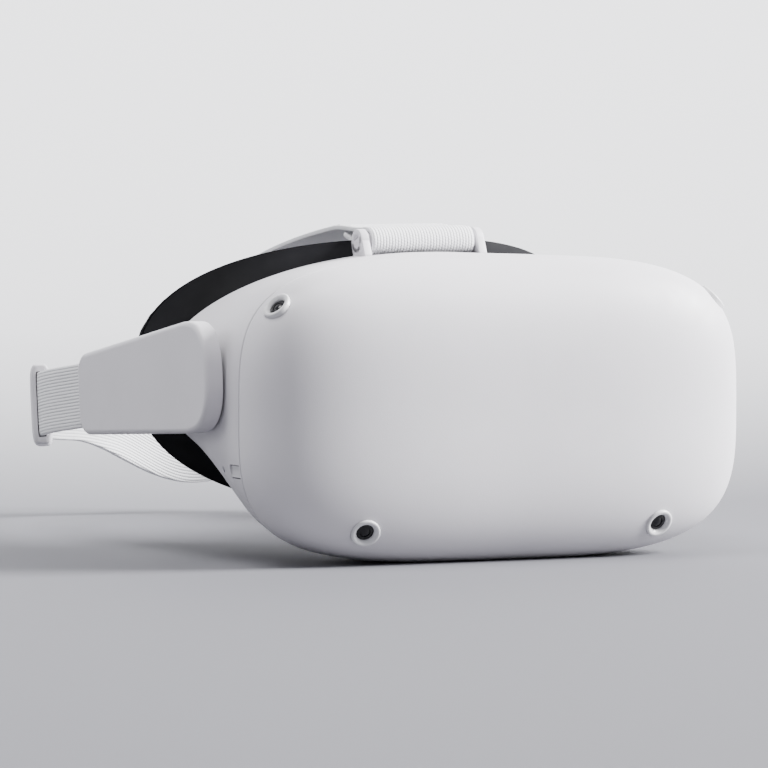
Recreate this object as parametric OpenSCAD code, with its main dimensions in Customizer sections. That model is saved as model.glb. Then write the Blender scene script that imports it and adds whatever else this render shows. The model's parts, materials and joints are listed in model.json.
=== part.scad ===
// Virtual reality headset: a moulded visor with four tracking cameras, two lens
// barrels that slide for eye spacing, a pull-off face pad, and a fabric head strap
// on two tilting side arms.
// Millimetres. +X is the wearer's left, +Y runs from the front cover to the back of
// the head, +Z is up. The origin is the middle of the flat rest face under the visor.

/* [Visor] */
// Width of the visor over the front cover
visor_w = 180; // [168:1:200]
// Height of the visor
visor_h = 100; // [92:1:112]
// How far the front cover stands forward of its seam
cover_depth = 28; // [25:1:36]
// Front to back length of the side housing behind the seam
housing_depth = 53; // [48:1:62]
// Wall thickness of the moulded housings
wall = 2; // [1.6:0.1:2.6]

/* [Optics] */
// Spacing between the two lens centres at rest
lens_spacing = 63; // [60:0.5:70]
// Radius of each lens
lens_r = 20; // [17:0.5:22]
// How far each lens barrel can slide to either side
lens_travel = 2.5; // [1.5:0.5:3]
// Height of the lens centres above the rest face
lens_z = 54; // [52:1:60]
// Radius of the two guide rods
rod_r = 1.5; // [1:0.1:2]

/* [Face pad] */
// Thickness of the foam on the face pad
foam_t = 10; // [7:1:14]
// How much further back the temples reach than the forehead
face_curve = 36; // [24:1:42]
// How much further back the housing reaches beside the temples
tail_l = 24; // [18:1:28]

/* [Head strap] */
// Overall length of each side arm
arm_len = 107; // [95:1:120]
// Thickness of each side arm
arm_t = 6.4; // [6:0.2:8]
// Radius of the arm pivot pins
pivot_r = 3; // [2:0.5:4]
// Downward tilt of the arms at rest, in degrees
arm_tilt = 6.5; // [4:0.5:9.5]
// Inside radius of the round back of the strap
loop_r = 88; // [84:1:94]
// Width of the woven side straps
strap_w = 22; // [18:1:26]
// Thickness of the woven straps
strap_t = 2.4; // [1.6:0.2:3]

/* [Buttons and sockets] */
// Radius of the headphone socket
jack_r = 1.8; // [1.75:0.05:2]
// Length of the power button
power_l = 11; // [8:1:14]
// Radius of the cooling fan rotor
rotor_r = 12; // [10:0.5:13]

/* [Hidden] */
RIGHT = -1;
LEFT = 1;
fit_gap = 0.3;
running_gap = 0.05;
press_gap = 0.1;
far = 400;

// Visor outline: a squared oval whose underside is trimmed flat at the floor.
ring_points = 56;
cover_square = 3.6;
cover_crown = 3.2;
floor_trim = 0.6;
half_w = visor_w / 2;
half_h = (visor_h + floor_trim) / 2;
mid_z = visor_h - half_h;
seam_y = -12;
back_y = seam_y + housing_depth;

// Behind the seam the sides step in for the arms, and the underside sweeps up.
side_step = 4;
step_l = 7;
sweep_y = 6;
back_narrow = 2;
back_shrink = 8;
back_square = 2.1;

function signed_power(v, p) = sign(v) * pow(abs(v), p);
function mix(a, b, k) = a + (b - a) * k;
function clamp(v) = min(max(v, 0), 1);
function ease(v) = let (c = clamp(v)) c * c * (3 - 2 * c);
function oval(a, b, n) = [
  for (i = [0:ring_points - 1])
    let (t = 360 * (i + 0.5) / ring_points)
      [a * signed_power(cos(t), 2 / n), b * signed_power(sin(t), 2 / n)]
];

// Depth of the pillow-shaped front at share k of the way out from its middle.
function crown(k) = pow(max(1 - pow(k, cover_crown), 0), 1 / cover_crown);
function cover_ring(k, inset = 0) = [
  for (p = oval((half_w - inset) * k, (half_h - inset) * k, cover_square))
    [p[0], seam_y - (cover_depth - inset) * crown(k), mid_z + p[1]]
];
// The front cover's surface at (x, z), and the direction that it faces there.
function cover_share(x, z) =
  pow(pow(abs(x) / half_w, cover_square) + pow(abs(z - mid_z) / half_h, cover_square), 1 / cover_square);
function cover_y(x, z) = seam_y - cover_depth * crown(cover_share(x, z));
function cover_normal(x, z) = [cover_y(x + 1, z) - cover_y(x - 1, z), -2, cover_y(x, z + 1) - cover_y(x, z - 1)];

function sweep(y) = clamp((y - sweep_y) / (back_y - sweep_y));
function housing_a(y) = half_w - side_step * ease((y - seam_y) / step_l) - back_narrow * sweep(y);
function housing_b(y) = half_h - back_shrink * pow(sweep(y), 1.3);
function housing_n(y) = mix(cover_square, back_square, ease((y - seam_y) / housing_depth));
function housing_mid(y) = visor_h - housing_b(y);
// The back of the housing curves round the face, so its rings bend back at the sides.
tail_curve = 2.4;
function tail(x, y) = tail_l * pow(sweep(y), 1.6) * pow(clamp(abs(x) / housing_a(y)), tail_curve);
function housing_ring(y, inset = 0) = [
  for (p = oval(housing_a(y) - inset, housing_b(y) - inset, housing_n(y)))
    [p[0], y + tail(p[0], y), housing_mid(y) + p[1]]
];
// Half width of the side housing at depth y and height z, and the height of its underside at x.
function housing_x(y, z, inset = 0) =
  let (n = housing_n(y), rise = clamp(abs(z - housing_mid(y)) / (housing_b(y) - inset)))
    (housing_a(y) - inset) * pow(1 - pow(rise, n), 1 / n);
function housing_floor(x, y, inset = 0) =
  let (n = housing_n(y), out = clamp(abs(x) / (housing_a(y) - inset)))
    housing_mid(y) - (housing_b(y) - inset) * pow(1 - pow(out, n), 1 / n);

// Skins a list of rings with the same number of points; wrap joins last to first.
module skin(rings, wrap = false) {
  n = len(rings[0]);
  m = len(rings);
  points = [for (r = rings) each r];
  sides = [
    for (j = [0:(wrap ? m - 1 : m - 2)])
      for (i = [0:n - 1])
        let (a = j * n + i, b = j * n + (i + 1) % n,
             c = ((j + 1) % m) * n + (i + 1) % n, d = ((j + 1) % m) * n + i)
          each [[a, b, c], [a, c, d]]
  ];
  caps = wrap ? [] : [[for (i = [n - 1:-1:0]) i], [for (i = [0:n - 1]) (m - 1) * n + i]];
  polyhedron(points, concat(sides, caps));
}
module below_floor() {
  translate([-far / 2, -far / 2, -far]) cube(far);
}
// An outline in x and z made into a plate from depth y to y + t.
module plate(y, t) {
  translate([0, y + t, 0]) rotate([90, 0, 0]) linear_extrude(t) children();
}
// An outline in y and z made into a plate from x to x + t.
module side_plate(x, t) {
  translate([x, 0, 0]) rotate([90, 0, 90]) linear_extrude(t) children();
}
// A box given by its middle and its size.
module block(middle, size) {
  translate(middle) cube(size, center = true);
}
// A cylinder along x, or along y, from a place.
module rod_x(place, r, l) {
  translate(place) rotate([0, 90, 0]) cylinder(r = r, h = l, $fn = 48);
}
module rod_y(place, r, l) {
  translate(place) rotate([-90, 0, 0]) cylinder(r = r, h = l, $fn = 64);
}
// Children stand on a place with their z along a direction.
module aim(place, direction) {
  translate(place)
    rotate([0, acos(direction[2] / norm(direction)), atan2(direction[1], direction[0])])
      children();
}
module on_side(side) {
  if (side == LEFT) children();
  else mirror([1, 0, 0]) children();
}

// ---- Tracking cameras -------------------------------------------------------
camera_r = 5;
camera_l = 6.4;
camera_proud = 0.5;
window_r = 2.9;
window_t = 1.2;
// The upper cameras sit near the cover's edge, at this share of the way out to its corner.
corner_share = 0.9897;
upper_camera = [0.9037 * corner_share * half_w, mid_z + 0.7192 * corner_share * half_h];
lower_camera = [half_w - 36, 11];
function camera_place(spot) = [spot[0], cover_y(spot[0], spot[1]), spot[1]];

module at_camera(spot, side) {
  on_side(side) aim(camera_place(spot), cover_normal(spot[0], spot[1])) children();
}
module camera_hole(spot, side) {
  at_camera(spot, side) translate([0, 0, -camera_l]) cylinder(r = camera_r + press_gap, h = camera_l + 9, $fn = 64);
}
module camera(spot, side) {
  color("gainsboro") at_camera(spot, side) difference() {
    translate([0, 0, camera_proud - camera_l]) cylinder(r = camera_r, h = camera_l, $fn = 64);
    translate([0, 0, camera_proud - 1.2 - window_t]) cylinder(r = window_r + press_gap, h = 5, $fn = 64);
    translate([0, 0, camera_proud - 0.8]) cylinder(r1 = window_r, r2 = window_r + 0.9, h = 0.81, $fn = 64);
  }
}
module camera_window(spot, side) {
  at_camera(spot, side) translate([0, 0, camera_proud - 1.2 - window_t])
    cylinder(r = window_r, h = window_t, $fn = 64);
}
module camera_windows() {
  color("black") for (side = [RIGHT, LEFT]) {
    camera_window(upper_camera, side);
    camera_window(lower_camera, side);
  }
}

// ---- Outer housings ---------------------------------------------------------
cover_shares = [0.1, 0.36, 0.56, 0.7, 0.8, 0.88, 0.94, 0.975, 0.993, 1];
module front_cover() {
  outer = [for (k = cover_shares) cover_ring(k)];
  inner = [for (i = [len(cover_shares) - 1:-1:0]) cover_ring(cover_shares[i], wall)];
  color("whitesmoke") difference() {
    skin(concat(outer, inner));
    below_floor();
    for (side = [RIGHT, LEFT]) {
      camera_hole(upper_camera, side);
      camera_hole(lower_camera, side);
    }
  }
}

// Arms turn on pins through the flanks of the housing.
pivot_y = 25;
pivot_z = 60;
arm_r = 18.5;
arm_gap = 0.8;
arm_x = half_w - side_step + arm_gap;

// Sockets on the left flank, power button and light on the right flank.
flank_z = 30;
jack_y = -1;
jack_l = 14;
jack_wall_r = jack_r + 1.4;
usb_y = 12;
usb_w = 9;
usb_t = 3.2;
usb_l = 8;
light_y = 14;
light_r = 1;
power_y = 0;
power_w = 4;
// Volume buttons under the visor, on the right.
volume_l = 9;
volume_w = 4;
volume_y = -3;
volume_x = -24;
volume_pitch = 13;
button_recess = 0.5;
button_travel = 0.8;
flange_t = 1;
flange_rim = 0.8;

// Notch in the top of the housing, which the strap bar bridges.
top_strap_w = 38;
bar_r = 3;
bar_end_r = 4.3;
bar_end_t = 3;
bar_y = back_y - 2;
bar_z = visor_h + 3.5;
notch_w = top_strap_w + 2;
notch_depth = 3.5;
notch_l = 8.5;

sweep_steps = 5;
stations = concat([seam_y, seam_y + 0.35 * step_l, seam_y + 0.65 * step_l, seam_y + step_l, 1],
                  [for (i = [0:sweep_steps]) mix(sweep_y, back_y, i / sweep_steps)]);
module side_housing() {
  outer = [for (y = stations) housing_ring(y)];
  inner = [for (i = [len(stations) - 1:-1:0]) housing_ring(stations[i], wall)];
  color("whitesmoke") difference() {
    skin(concat(outer, inner), wrap = true);
    below_floor();
    rod_x([half_w - 20, jack_y, flank_z], jack_wall_r + press_gap, 30);
    block([half_w - 5, usb_y, flank_z], [30, usb_w + 2 * press_gap, usb_t + 2 * press_gap]);
    rod_x([-half_w - 10, light_y, flank_z], light_r + press_gap, 30);
    block([-half_w + 5, power_y, flank_z], [30, power_l + 2 * fit_gap, power_w + 2 * fit_gap]);
    for (i = [0, 1])
      block([volume_x - i * volume_pitch, volume_y, 0], [volume_l + 2 * fit_gap, volume_w + 2 * fit_gap, 8]);
    for (side = [RIGHT, LEFT]) on_side(side)
      rod_x([half_w - 20, pivot_y, pivot_z], pivot_r + press_gap, 30);
    block([0, back_y, visor_h], [notch_w + 2 * bar_end_t, 2 * notch_l, 2 * notch_depth]);
  }
}

// Chassis plate behind the seam, with four ears that hold the guide rods.
frame_t = 2.5;
frame_y = seam_y + 1;
frame_gap = 0.4;
frame_back = frame_y + frame_t;
rod_rise = 31;
rod_y_place = 8;
ear_t = 4;
carrier_w = 14;
carrier_t = 6;
ear_x = lens_spacing / 2 + carrier_w / 2 + lens_travel + 4;
ear_w = 10;
rod_l = 2 * ear_x + 2 * ear_t;
post_r = 3;
module frame_outline(inset) {
  polygon([for (p = oval(half_w - wall - inset, half_h - wall - inset, cover_square)) [p[0], mid_z + p[1]]]);
}
board_y = frame_y - 4;
board_spots = [[-48, 24], [48, 24], [-48, 78], [48, 78]];
module mid_frame() {
  color("dimgray") difference() {
    union() {
      plate(frame_y, frame_t) frame_outline(side_step + frame_gap);
      for (side = [RIGHT, LEFT], rise = [-1, 1]) on_side(side)
        translate([ear_x, frame_back - 0.5, lens_z + rise * rod_rise - ear_w / 2])
          cube([ear_t, rod_y_place - frame_back + ear_w / 2 + 0.5, ear_w]);
      for (s = board_spots) rod_y([s[0], board_y, s[1]], post_r, frame_y - board_y + 0.5);
    }
    for (rise = [-1, 1])
      rod_x([-rod_l / 2 - 1, rod_y_place, lens_z + rise * rod_rise], rod_r + 0.02, rod_l + 2);
    for (s = board_spots) rod_y([s[0], board_y - 1, s[1]], screw_r + press_gap, 4);
  }
}
module guide_rods() {
  color("silver") for (rise = [-1, 1])
    rod_x([-rod_l / 2, rod_y_place, lens_z + rise * rod_rise], rod_r, rod_l);
}

// ---- Screws -----------------------------------------------------------------
screw_r = 1;
screw_head_r = 1.8;
screw_head_t = 1;
// A screw along +z, whose head starts at its place.
module screw(l) {
  difference() {
    cylinder(r = screw_head_r, h = screw_head_t, $fn = 32);
    translate([0, 0, -0.01]) cylinder(r = 0.7, h = 0.6, $fn = 6);
  }
  translate([0, 0, screw_head_t]) cylinder(r = screw_r, h = l, $fn = 32);
}
module frame_screws() {
  color("silver") for (s = board_spots)
    translate([s[0], board_y - board_t - screw_head_t, s[1]]) rotate([-90, 0, 0]) screw(board_t + 2.6);
}

// ---- Electronics ------------------------------------------------------------
board_t = 1.6;
board_w = 118;
board_h = 66;
board_z = (board_spots[0][1] + board_spots[2][1]) / 2;
chip_w = 15;
chip_t = 1.2;
chip_x = -18;
chip_z = 60;
sink_w = 30;
sink_base = 1.5;
fin_l = 5;
fin_t = 0.8;
fins = 8;
fan_x = 20;
fan_z = 62;
fan_t = 9;
fan_wall = 1.6;
hub_r = 4;
axle_r = 1;
blade_t = 0.8;
blade_l = 5;
blade_pitch = 14;
blades = 9;
battery_w = 84;
battery_h = 24;
battery_t = 8;
battery_z = 31;
display_w = 140;
display_h = 50;
display_t = 2;

module main_board() {
  color("darkgreen") difference() {
    block([0, board_y - board_t / 2, board_z], [board_w, board_t, board_h]);
    for (s = board_spots) rod_y([s[0], board_y - board_t - 1, s[1]], screw_r + press_gap, board_t + 2);
  }
}
module processor() {
  color("black") block([chip_x, board_y - board_t - chip_t / 2, chip_z], [chip_w, chip_t, chip_w]);
}
sink_y = board_y - board_t - chip_t;
module heat_sink() {
  color("silver") {
    block([chip_x, sink_y - sink_base / 2, chip_z], [sink_w, sink_base, sink_w]);
    for (i = [0:fins - 1])
      block([chip_x + (i - (fins - 1) / 2) * (sink_w - fin_t) / (fins - 1), sink_y - sink_base - fin_l / 2, chip_z],
            [fin_t, fin_l + 0.02, sink_w]);
  }
}
fan_back = board_y - board_t;
module fan_housing() {
  color("black") {
    difference() {
      rod_y([fan_x, fan_back - fan_t, fan_z], rotor_r + 1 + fan_wall, fan_t);
      rod_y([fan_x, fan_back - fan_t - 1, fan_z], rotor_r + 1, fan_t - fan_wall + 1);
    }
    rod_y([fan_x, fan_back - fan_t + 1.5, fan_z], axle_r, fan_t - fan_wall - 1.5);
  }
}
module fan_rotor() {
  color("dimgray") difference() {
    union() {
      rod_y([fan_x, fan_back - fan_t + 1, fan_z], hub_r, fan_t - fan_wall - 1.5);
      for (i = [0:blades - 1]) translate([fan_x, fan_back - fan_t + 1.2, fan_z]) rotate([0, 360 * i / blades, 0])
        translate([hub_r - 0.5, 0, -blade_t / 2]) rotate([-blade_pitch, 0, 0])
          cube([rotor_r - hub_r, blade_l, blade_t]);
    }
    rod_y([fan_x, fan_back - fan_t + 0.5, fan_z], axle_r + running_gap, fan_t);
  }
}
module battery_pack() {
  color("darkslategray") block([0, fan_back - battery_t / 2, battery_z], [battery_w, battery_t, battery_h]);
}
module display_panel() {
  color("midnightblue") block([0, frame_back + display_t / 2, lens_z], [display_w, display_t, display_h]);
}

// ---- Sockets, buttons and sensors -------------------------------------------
module headphone_socket() {
  x = housing_x(jack_y, flank_z) - 1.2;
  color("dimgray") difference() {
    rod_x([x - jack_l, jack_y, flank_z], jack_wall_r, jack_l);
    rod_x([x - jack_l + 1, jack_y, flank_z], jack_r, jack_l);
  }
}
module usb_socket() {
  x = housing_x(usb_y, flank_z) - 1.2;
  color("silver") difference() {
    block([x - usb_l / 2, usb_y, flank_z], [usb_l, usb_w, usb_t]);
    block([x - usb_l / 2 + 1, usb_y, flank_z], [usb_l, usb_w - 1.2, usb_t - 1.2]);
  }
}
module status_light() {
  x = housing_x(light_y, flank_z) - 0.8;
  color("white") rod_x([-x, light_y, flank_z], light_r, 5);
}
// A button whose face is at z = 0, pressed towards +z.
module button(l, w, flange_z) {
  translate([-l / 2, -w / 2, 0]) cube([l, w, flange_z + flange_t]);
  translate([-l / 2 - flange_rim, -w / 2 - flange_rim, flange_z])
    cube([l + 2 * flange_rim, w + 2 * flange_rim, flange_t]);
}
power_x = -(housing_x(power_y, flank_z) - button_recess);
// The flanges lie behind the wall with a gap where the wall curves in furthest.
power_inner = housing_x(power_y, flank_z - power_w / 2 - flange_rim, wall);
power_flange = -power_x - power_inner + 3 * fit_gap;
volume_z = button_recess + fit_gap;
volume_out = abs(volume_x) + volume_pitch + volume_l / 2 + flange_rim;
volume_flange = housing_floor(volume_out, volume_y, wall) + fit_gap - volume_z;
module power_button() {
  color("gainsboro") translate([power_x, power_y, flank_z]) rotate([0, 90, 0]) rotate([0, 0, 90])
    button(power_l, power_w, power_flange);
}
module volume_button(i) {
  color("gainsboro") translate([volume_x - i * volume_pitch, volume_y, volume_z])
    button(volume_l, volume_w, volume_flange);
}
switch_t = 2;
switch_w = 4;
module button_switches() {
  color("black") {
    block([power_x + power_flange + flange_t + button_travel + fit_gap + switch_t / 2, power_y, flank_z],
          [switch_t, switch_w, switch_w]);
    for (i = [0, 1])
      block([volume_x - i * volume_pitch, volume_y,
             volume_z + volume_flange + flange_t + button_travel + fit_gap + switch_t / 2],
            [switch_w, switch_w, switch_t]);
  }
}

// ---- Lens plate and lenses --------------------------------------------------
plate_y = back_y - 8;
plate_t = 2;
plate_gap = 0.5;
barrel_wall = 2;
barrel_r = lens_r + barrel_wall;
slot_gap = 0.6;
sensor_z = lens_z + 27;
plate_spots = [[0, 30], [-68, 62], [68, 62]];

module lens_plate() {
  color("dimgray") difference() {
    intersection() {
      skin([for (y = stations) housing_ring(y, wall + plate_gap)]);
      block([0, plate_y + plate_t / 2, mid_z], [visor_w, plate_t, visor_h]);
    }
    block([0, plate_y, visor_h], [notch_w + 2 * bar_end_t + 2, 4 * plate_t, 2 * notch_depth + 2]);
    for (side = [RIGHT, LEFT]) {
      for (x = [-1, 1])
        rod_y([side * lens_spacing / 2 + x * lens_travel, plate_y - 1, lens_z], barrel_r + slot_gap, plate_t + 2);
      block([side * lens_spacing / 2, plate_y + plate_t / 2, lens_z],
            [2 * lens_travel, plate_t + 2, 2 * (barrel_r + slot_gap)]);
    }
    block([0, plate_y + plate_t / 2, sensor_z], [5 + 2 * press_gap, plate_t + 2, 3 + 2 * press_gap]);
    for (s = plate_spots) rod_y([s[0], plate_y - 1, s[1]], screw_r + press_gap, plate_t + 2);
  }
}
module plate_screws() {
  color("silver") for (s = plate_spots)
    translate([s[0], plate_y + plate_t + screw_head_t, s[1]]) rotate([90, 0, 0]) screw(plate_t + 3);
}
module wear_sensor() {
  color("black") block([0, plate_y + plate_t / 2 - 0.5, sensor_z], [5, plate_t + 1, 3]);
}
barrel_front = frame_back + display_t + 1;
barrel_back = plate_y + plate_t + 3;
module lens_barrel(side) {
  x = side * lens_spacing / 2;
  color("black") difference() {
    union() {
      rod_y([x, barrel_front, lens_z], barrel_r, barrel_back - barrel_front);
      for (rise = [-1, 1])
        block([x, rod_y_place, lens_z + rise * (rod_rise + barrel_r) / 2],
              [carrier_w, carrier_t, rod_rise - barrel_r + 6]);
      for (rise = [-1, 1])
        rod_x([x - carrier_w / 2, rod_y_place, lens_z + rise * rod_rise], rod_r + 2, carrier_w);
    }
    rod_y([x, barrel_front - 1, lens_z], lens_r - 1, barrel_back);
    rod_y([x, barrel_back - lens_seat, lens_z], lens_r + press_gap, far);
    for (rise = [-1, 1])
      rod_x([x - carrier_w, rod_y_place, lens_z + rise * rod_rise], rod_r + running_gap, 2 * carrier_w);
  }
}
lens_seat = 6;
lens_bulge = 4;
lens_sphere = (lens_r * lens_r + lens_bulge * lens_bulge) / (2 * lens_bulge);
module lens(side) {
  x = side * lens_spacing / 2;
  color("lightcyan") intersection() {
    rod_y([x, barrel_back - lens_seat, lens_z], lens_r, lens_seat + lens_bulge - 1);
    translate([x, barrel_back - 1 + lens_bulge - lens_sphere, lens_z]) sphere(r = lens_sphere, $fn = 96);
  }
}

// ---- Face pad ---------------------------------------------------------------
// Oval at the housing and a larger oval at the face, lifted over the nose.
pad_gap = 0.4;
pad_wall = 3;
pad_front = back_y + pad_gap;
pad_depth = 6;
pad_a = half_w - 6;
pad_b = half_h - 4.5;
pad_top = visor_h + 4;
pad_drop = 3;
pad_square = 2.6;
nose_lift = 20;
nose_half_w = 34;
function bump(x, half) = abs(x) < half ? (1 + cos(180 * x / half)) / 2 : 0;
// One ring of the pad: inset from its outline, spread from housing to face, at depth.
function pad_ring(inset, spread, depth) =
  let (a = mix(housing_a(back_y), pad_a, spread) - inset,
       b = mix(housing_b(back_y) - pad_drop, pad_b, spread) - inset,
       mid = mix(visor_h - pad_drop, pad_top, spread) - b - inset)
    [for (p = oval(a, b, mix(back_square, pad_square, spread)))
      [p[0],
       pad_front + depth + mix(tail_l, face_curve, spread) * pow(abs(p[0]) / a, tail_curve),
       mid + p[1] + (p[1] < 0 ? nose_lift * bump(p[0], nose_half_w) : 0)]];
module face_frame() {
  rings = [pad_ring(0, 0, 0), pad_ring(0, 0.5, pad_depth / 2), pad_ring(0, 1, pad_depth),
           pad_ring(pad_wall, 1, pad_depth), pad_ring(pad_wall, 0.5, pad_depth / 2), pad_ring(pad_wall, 0, 0)];
  color("dimgray") skin(rings, wrap = true);
}
foam_wall = 13;
module face_foam() {
  rings = [pad_ring(1, 1, pad_depth + 0.05), pad_ring(0, 1, pad_depth + foam_t * 0.3),
           pad_ring(1, 1, pad_depth + foam_t * 0.8), pad_ring(4, 1, pad_depth + foam_t),
           pad_ring(foam_wall - 3, 1, pad_depth + foam_t), pad_ring(foam_wall, 1, pad_depth + foam_t * 0.8),
           pad_ring(foam_wall, 1, pad_depth + 0.05)];
  color("darkslategray") skin(rings, wrap = true);
}

// ---- Side arms --------------------------------------------------------------
arm_end = arm_len - arm_r;
arm_end_h = 14;
arm_corner = 7;
arm_wall = 1.6;
lid_t = 1.2;
boss_r = 7.5;
boss_t = 2.8;
pin_head_r = 5;
pin_head_t = 1;
arm_spots = [26, arm_end - 10];
speaker_y = 62;
speaker_r = 9;
speaker_t = 2.2;
module at_arm() {
  translate([0, pivot_y, pivot_z]) rotate([-arm_tilt, 0, 0]) children();
}
module arm_outline(inset) {
  c = arm_corner - inset / 2;
  end = arm_end - inset;
  h = arm_end_h - inset;
  polygon(concat(
    [for (t = [90:10:270]) (arm_r - inset) * [cos(t), sin(t)]],
    [for (t = [270:15:360]) [end - c + c * cos(t), -h + c + c * sin(t)]],
    [for (t = [0:15:90]) [end - c + c * cos(t), h - c + c * sin(t)]]
  ));
}
module arm_shell(side) {
  floor_x = arm_x + arm_t - wall;
  color("whitesmoke") on_side(side) at_arm() difference() {
    union() {
      difference() {
        side_plate(arm_x, arm_t) arm_outline(0);
        side_plate(arm_x - 1, arm_t - wall + 1) arm_outline(arm_wall);
      }
      rod_x([arm_x, 0, 0], boss_r, arm_t - 0.5);
      for (y = arm_spots) rod_x([arm_x + lid_t, y, 0], post_r, arm_t - lid_t - 0.5);
    }
    rod_x([arm_x - 1, 0, 0], pivot_r + running_gap, boss_t + 2);
    rod_x([arm_x + boss_t, 0, 0], pin_head_r + fit_gap, floor_x - arm_x - boss_t);
    for (y = arm_spots) rod_x([arm_x, y, 0], screw_r + press_gap, arm_t - wall);
  }
}
module arm_lid(side) {
  color("gainsboro") on_side(side) at_arm() difference() {
    side_plate(arm_x, lid_t) arm_outline(arm_wall + press_gap);
    rod_x([arm_x - 1, 0, 0], boss_r + press_gap, 5);
    for (y = arm_spots) rod_x([arm_x - 1, y, 0], screw_head_r + press_gap, lid_t - 0.2 + 1);
    for (y = arm_spots) rod_x([arm_x - 1, y, 0], screw_r + press_gap, lid_t + 2);
    for (i = [-2:2]) block([arm_x, speaker_y, i * 3], [4, 12, 1.2]);
  }
}
module arm_screws() {
  color("silver") for (side = [RIGHT, LEFT], y = arm_spots) on_side(side) at_arm()
    translate([arm_x, y, 0]) rotate([0, 90, 0]) screw(arm_t - wall - screw_head_t - 0.2);
}
module speaker(side) {
  color("black") on_side(side) at_arm() rod_x([arm_x + lid_t + 0.2, speaker_y, 0], speaker_r, speaker_t);
}
collar_t = 1.5;
module pivot_pin(side) {
  collar_x = housing_x(pivot_y, pivot_z) - wall - 2;
  head_x = arm_x + boss_t + fit_gap;
  color("silver") on_side(side) {
    rod_x([collar_x - collar_t / 2, pivot_y, pivot_z], pivot_r, head_x - collar_x + (collar_t + pin_head_t) / 2);
    rod_x([head_x, pivot_y, pivot_z], pin_head_r, pin_head_t);
    rod_x([collar_x - collar_t, pivot_y, pivot_z], pin_head_r, collar_t);
  }
}

// ---- Woven straps -----------------------------------------------------------
strap_straight = 24;
loop_y = arm_end + strap_straight;
side_arc = 52;
slider_at = 24;
slider_arc = 12;
slider_wall = 1.8;
slider_gap = 0.4;
slider_lip = 3;
back_half_h = 26.5;
back_band = 12;
// A ring sector about the strap loop's axis, on the left, from angle a over arc degrees.
module sector(a, arc, r, t, h) {
  translate([0, loop_y, 0]) rotate([0, 0, a])
    rotate_extrude(angle = arc, $fn = 180) translate([r, -h / 2]) square([t, h]);
}
// The strap leaves the arm's end, inside its inner face, and runs straight to the loop.
strap_in = 1.2;
strap_x = arm_x + strap_in;
module side_strap(side) {
  color("lightgray") on_side(side) at_arm() {
    translate([0, 0, -strap_w / 2]) linear_extrude(strap_w)
      polygon([[strap_x, arm_end], [strap_x + strap_t, arm_end], [loop_r + strap_t, loop_y], [loop_r, loop_y]]);
    sector(0, side_arc, loop_r, strap_t, strap_w);
  }
}
module strap_slider(side) {
  color("whitesmoke") on_side(side) at_arm() difference() {
    sector(slider_at - slider_arc / 2, slider_arc, loop_r - slider_wall - slider_gap,
           strap_t + 2 * slider_wall + 2 * slider_gap, strap_w + 2 * slider_lip);
    sector(slider_at - slider_arc, 2 * slider_arc, loop_r - slider_gap,
           strap_t + 2 * slider_gap, strap_w + 2 * slider_gap);
  }
}
back_w = (loop_r + strap_t) * cos(side_arc);
function wave(x, half) = (1 + cos(180 * clamp(abs(x) / half))) / 2;
module back_outline() {
  steps = 24;
  upper = [for (i = [-steps:steps]) let (x = i * back_w / steps)
    [x, strap_w / 2 + (back_half_h - strap_w / 2) * wave(x, back_w)]];
  lower = [for (i = [steps:-1:-steps]) let (x = i * back_w / steps)
    [x, -strap_w / 2 - (back_half_h - strap_w / 2) * wave(x, back_w)]];
  polygon(concat(upper, lower));
}
module back_opening() {
  steps = 12;
  half = back_w * 0.66;
  h = back_half_h - back_band;
  polygon(concat(
    [for (i = [-steps:steps]) let (x = i * half / steps) [x, h * wave(x, half) + 0.01]],
    [for (i = [steps:-1:-steps]) let (x = i * half / steps) [x, -h * wave(x, half) - 0.01]]
  ));
}
module back_strap() {
  color("lightgray") at_arm() difference() {
    intersection() {
      sector(side_arc, 180 - 2 * side_arc, loop_r, strap_t, 2 * back_half_h + 2);
      plate(loop_y + 20, loop_r) back_outline();
    }
    plate(loop_y + 20, loop_r) back_opening();
  }
}

// Front bar for the top strap, on two lugs at the ends of the notch.
module strap_bar() {
  color("whitesmoke") {
    rod_x([-notch_w / 2 - 1, bar_y, bar_z], bar_r, notch_w + 2);
    for (side = [RIGHT, LEFT]) on_side(side) {
      rod_x([notch_w / 2, bar_y, bar_z], bar_end_r, bar_end_t);
      side_plate(notch_w / 2, bar_end_t) polygon([
        [back_y - notch_l, visor_h - notch_depth], [back_y - notch_l, visor_h],
        [bar_y - 3.4, bar_z + 2.6], [bar_y + 4.2, bar_z - 0.8], [back_y, visor_h - notch_depth]
      ]);
    }
  }
}
// Top strap: folded round the bar, then back and down to the rear of the side straps.
top_t = 2;
fold_t = 3;
end_gap = 1.8;
top_bow = 9;
top_steps = 24;
function from_arm(y, z) = [
  pivot_y + y * cos(arm_tilt) + z * sin(arm_tilt),
  pivot_z - y * sin(arm_tilt) + z * cos(arm_tilt)
];
top_start = [bar_y + 2, bar_z + bar_r + fold_t + top_t];
top_end = from_arm(loop_y + loop_r - end_gap, back_half_h - 3);
function top_path(k) = mix(top_start, top_end, k) + [0, top_bow * sin(180 * k)];
module top_strap() {
  color("lightgray") side_plate(-top_strap_w / 2, top_strap_w) polygon(concat(
    [for (i = [0:top_steps]) top_path(i / top_steps)],
    [for (i = [top_steps:-1:0]) top_path(i / top_steps) - [0, top_t]]
  ));
}
module top_strap_loop() {
  color("lightgray") difference() {
    rod_x([-top_strap_w / 2, bar_y, bar_z], bar_r + fold_t, top_strap_w);
    rod_x([-top_strap_w / 2 - 1, bar_y, bar_z], bar_r, top_strap_w + 2);
  }
}

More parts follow.
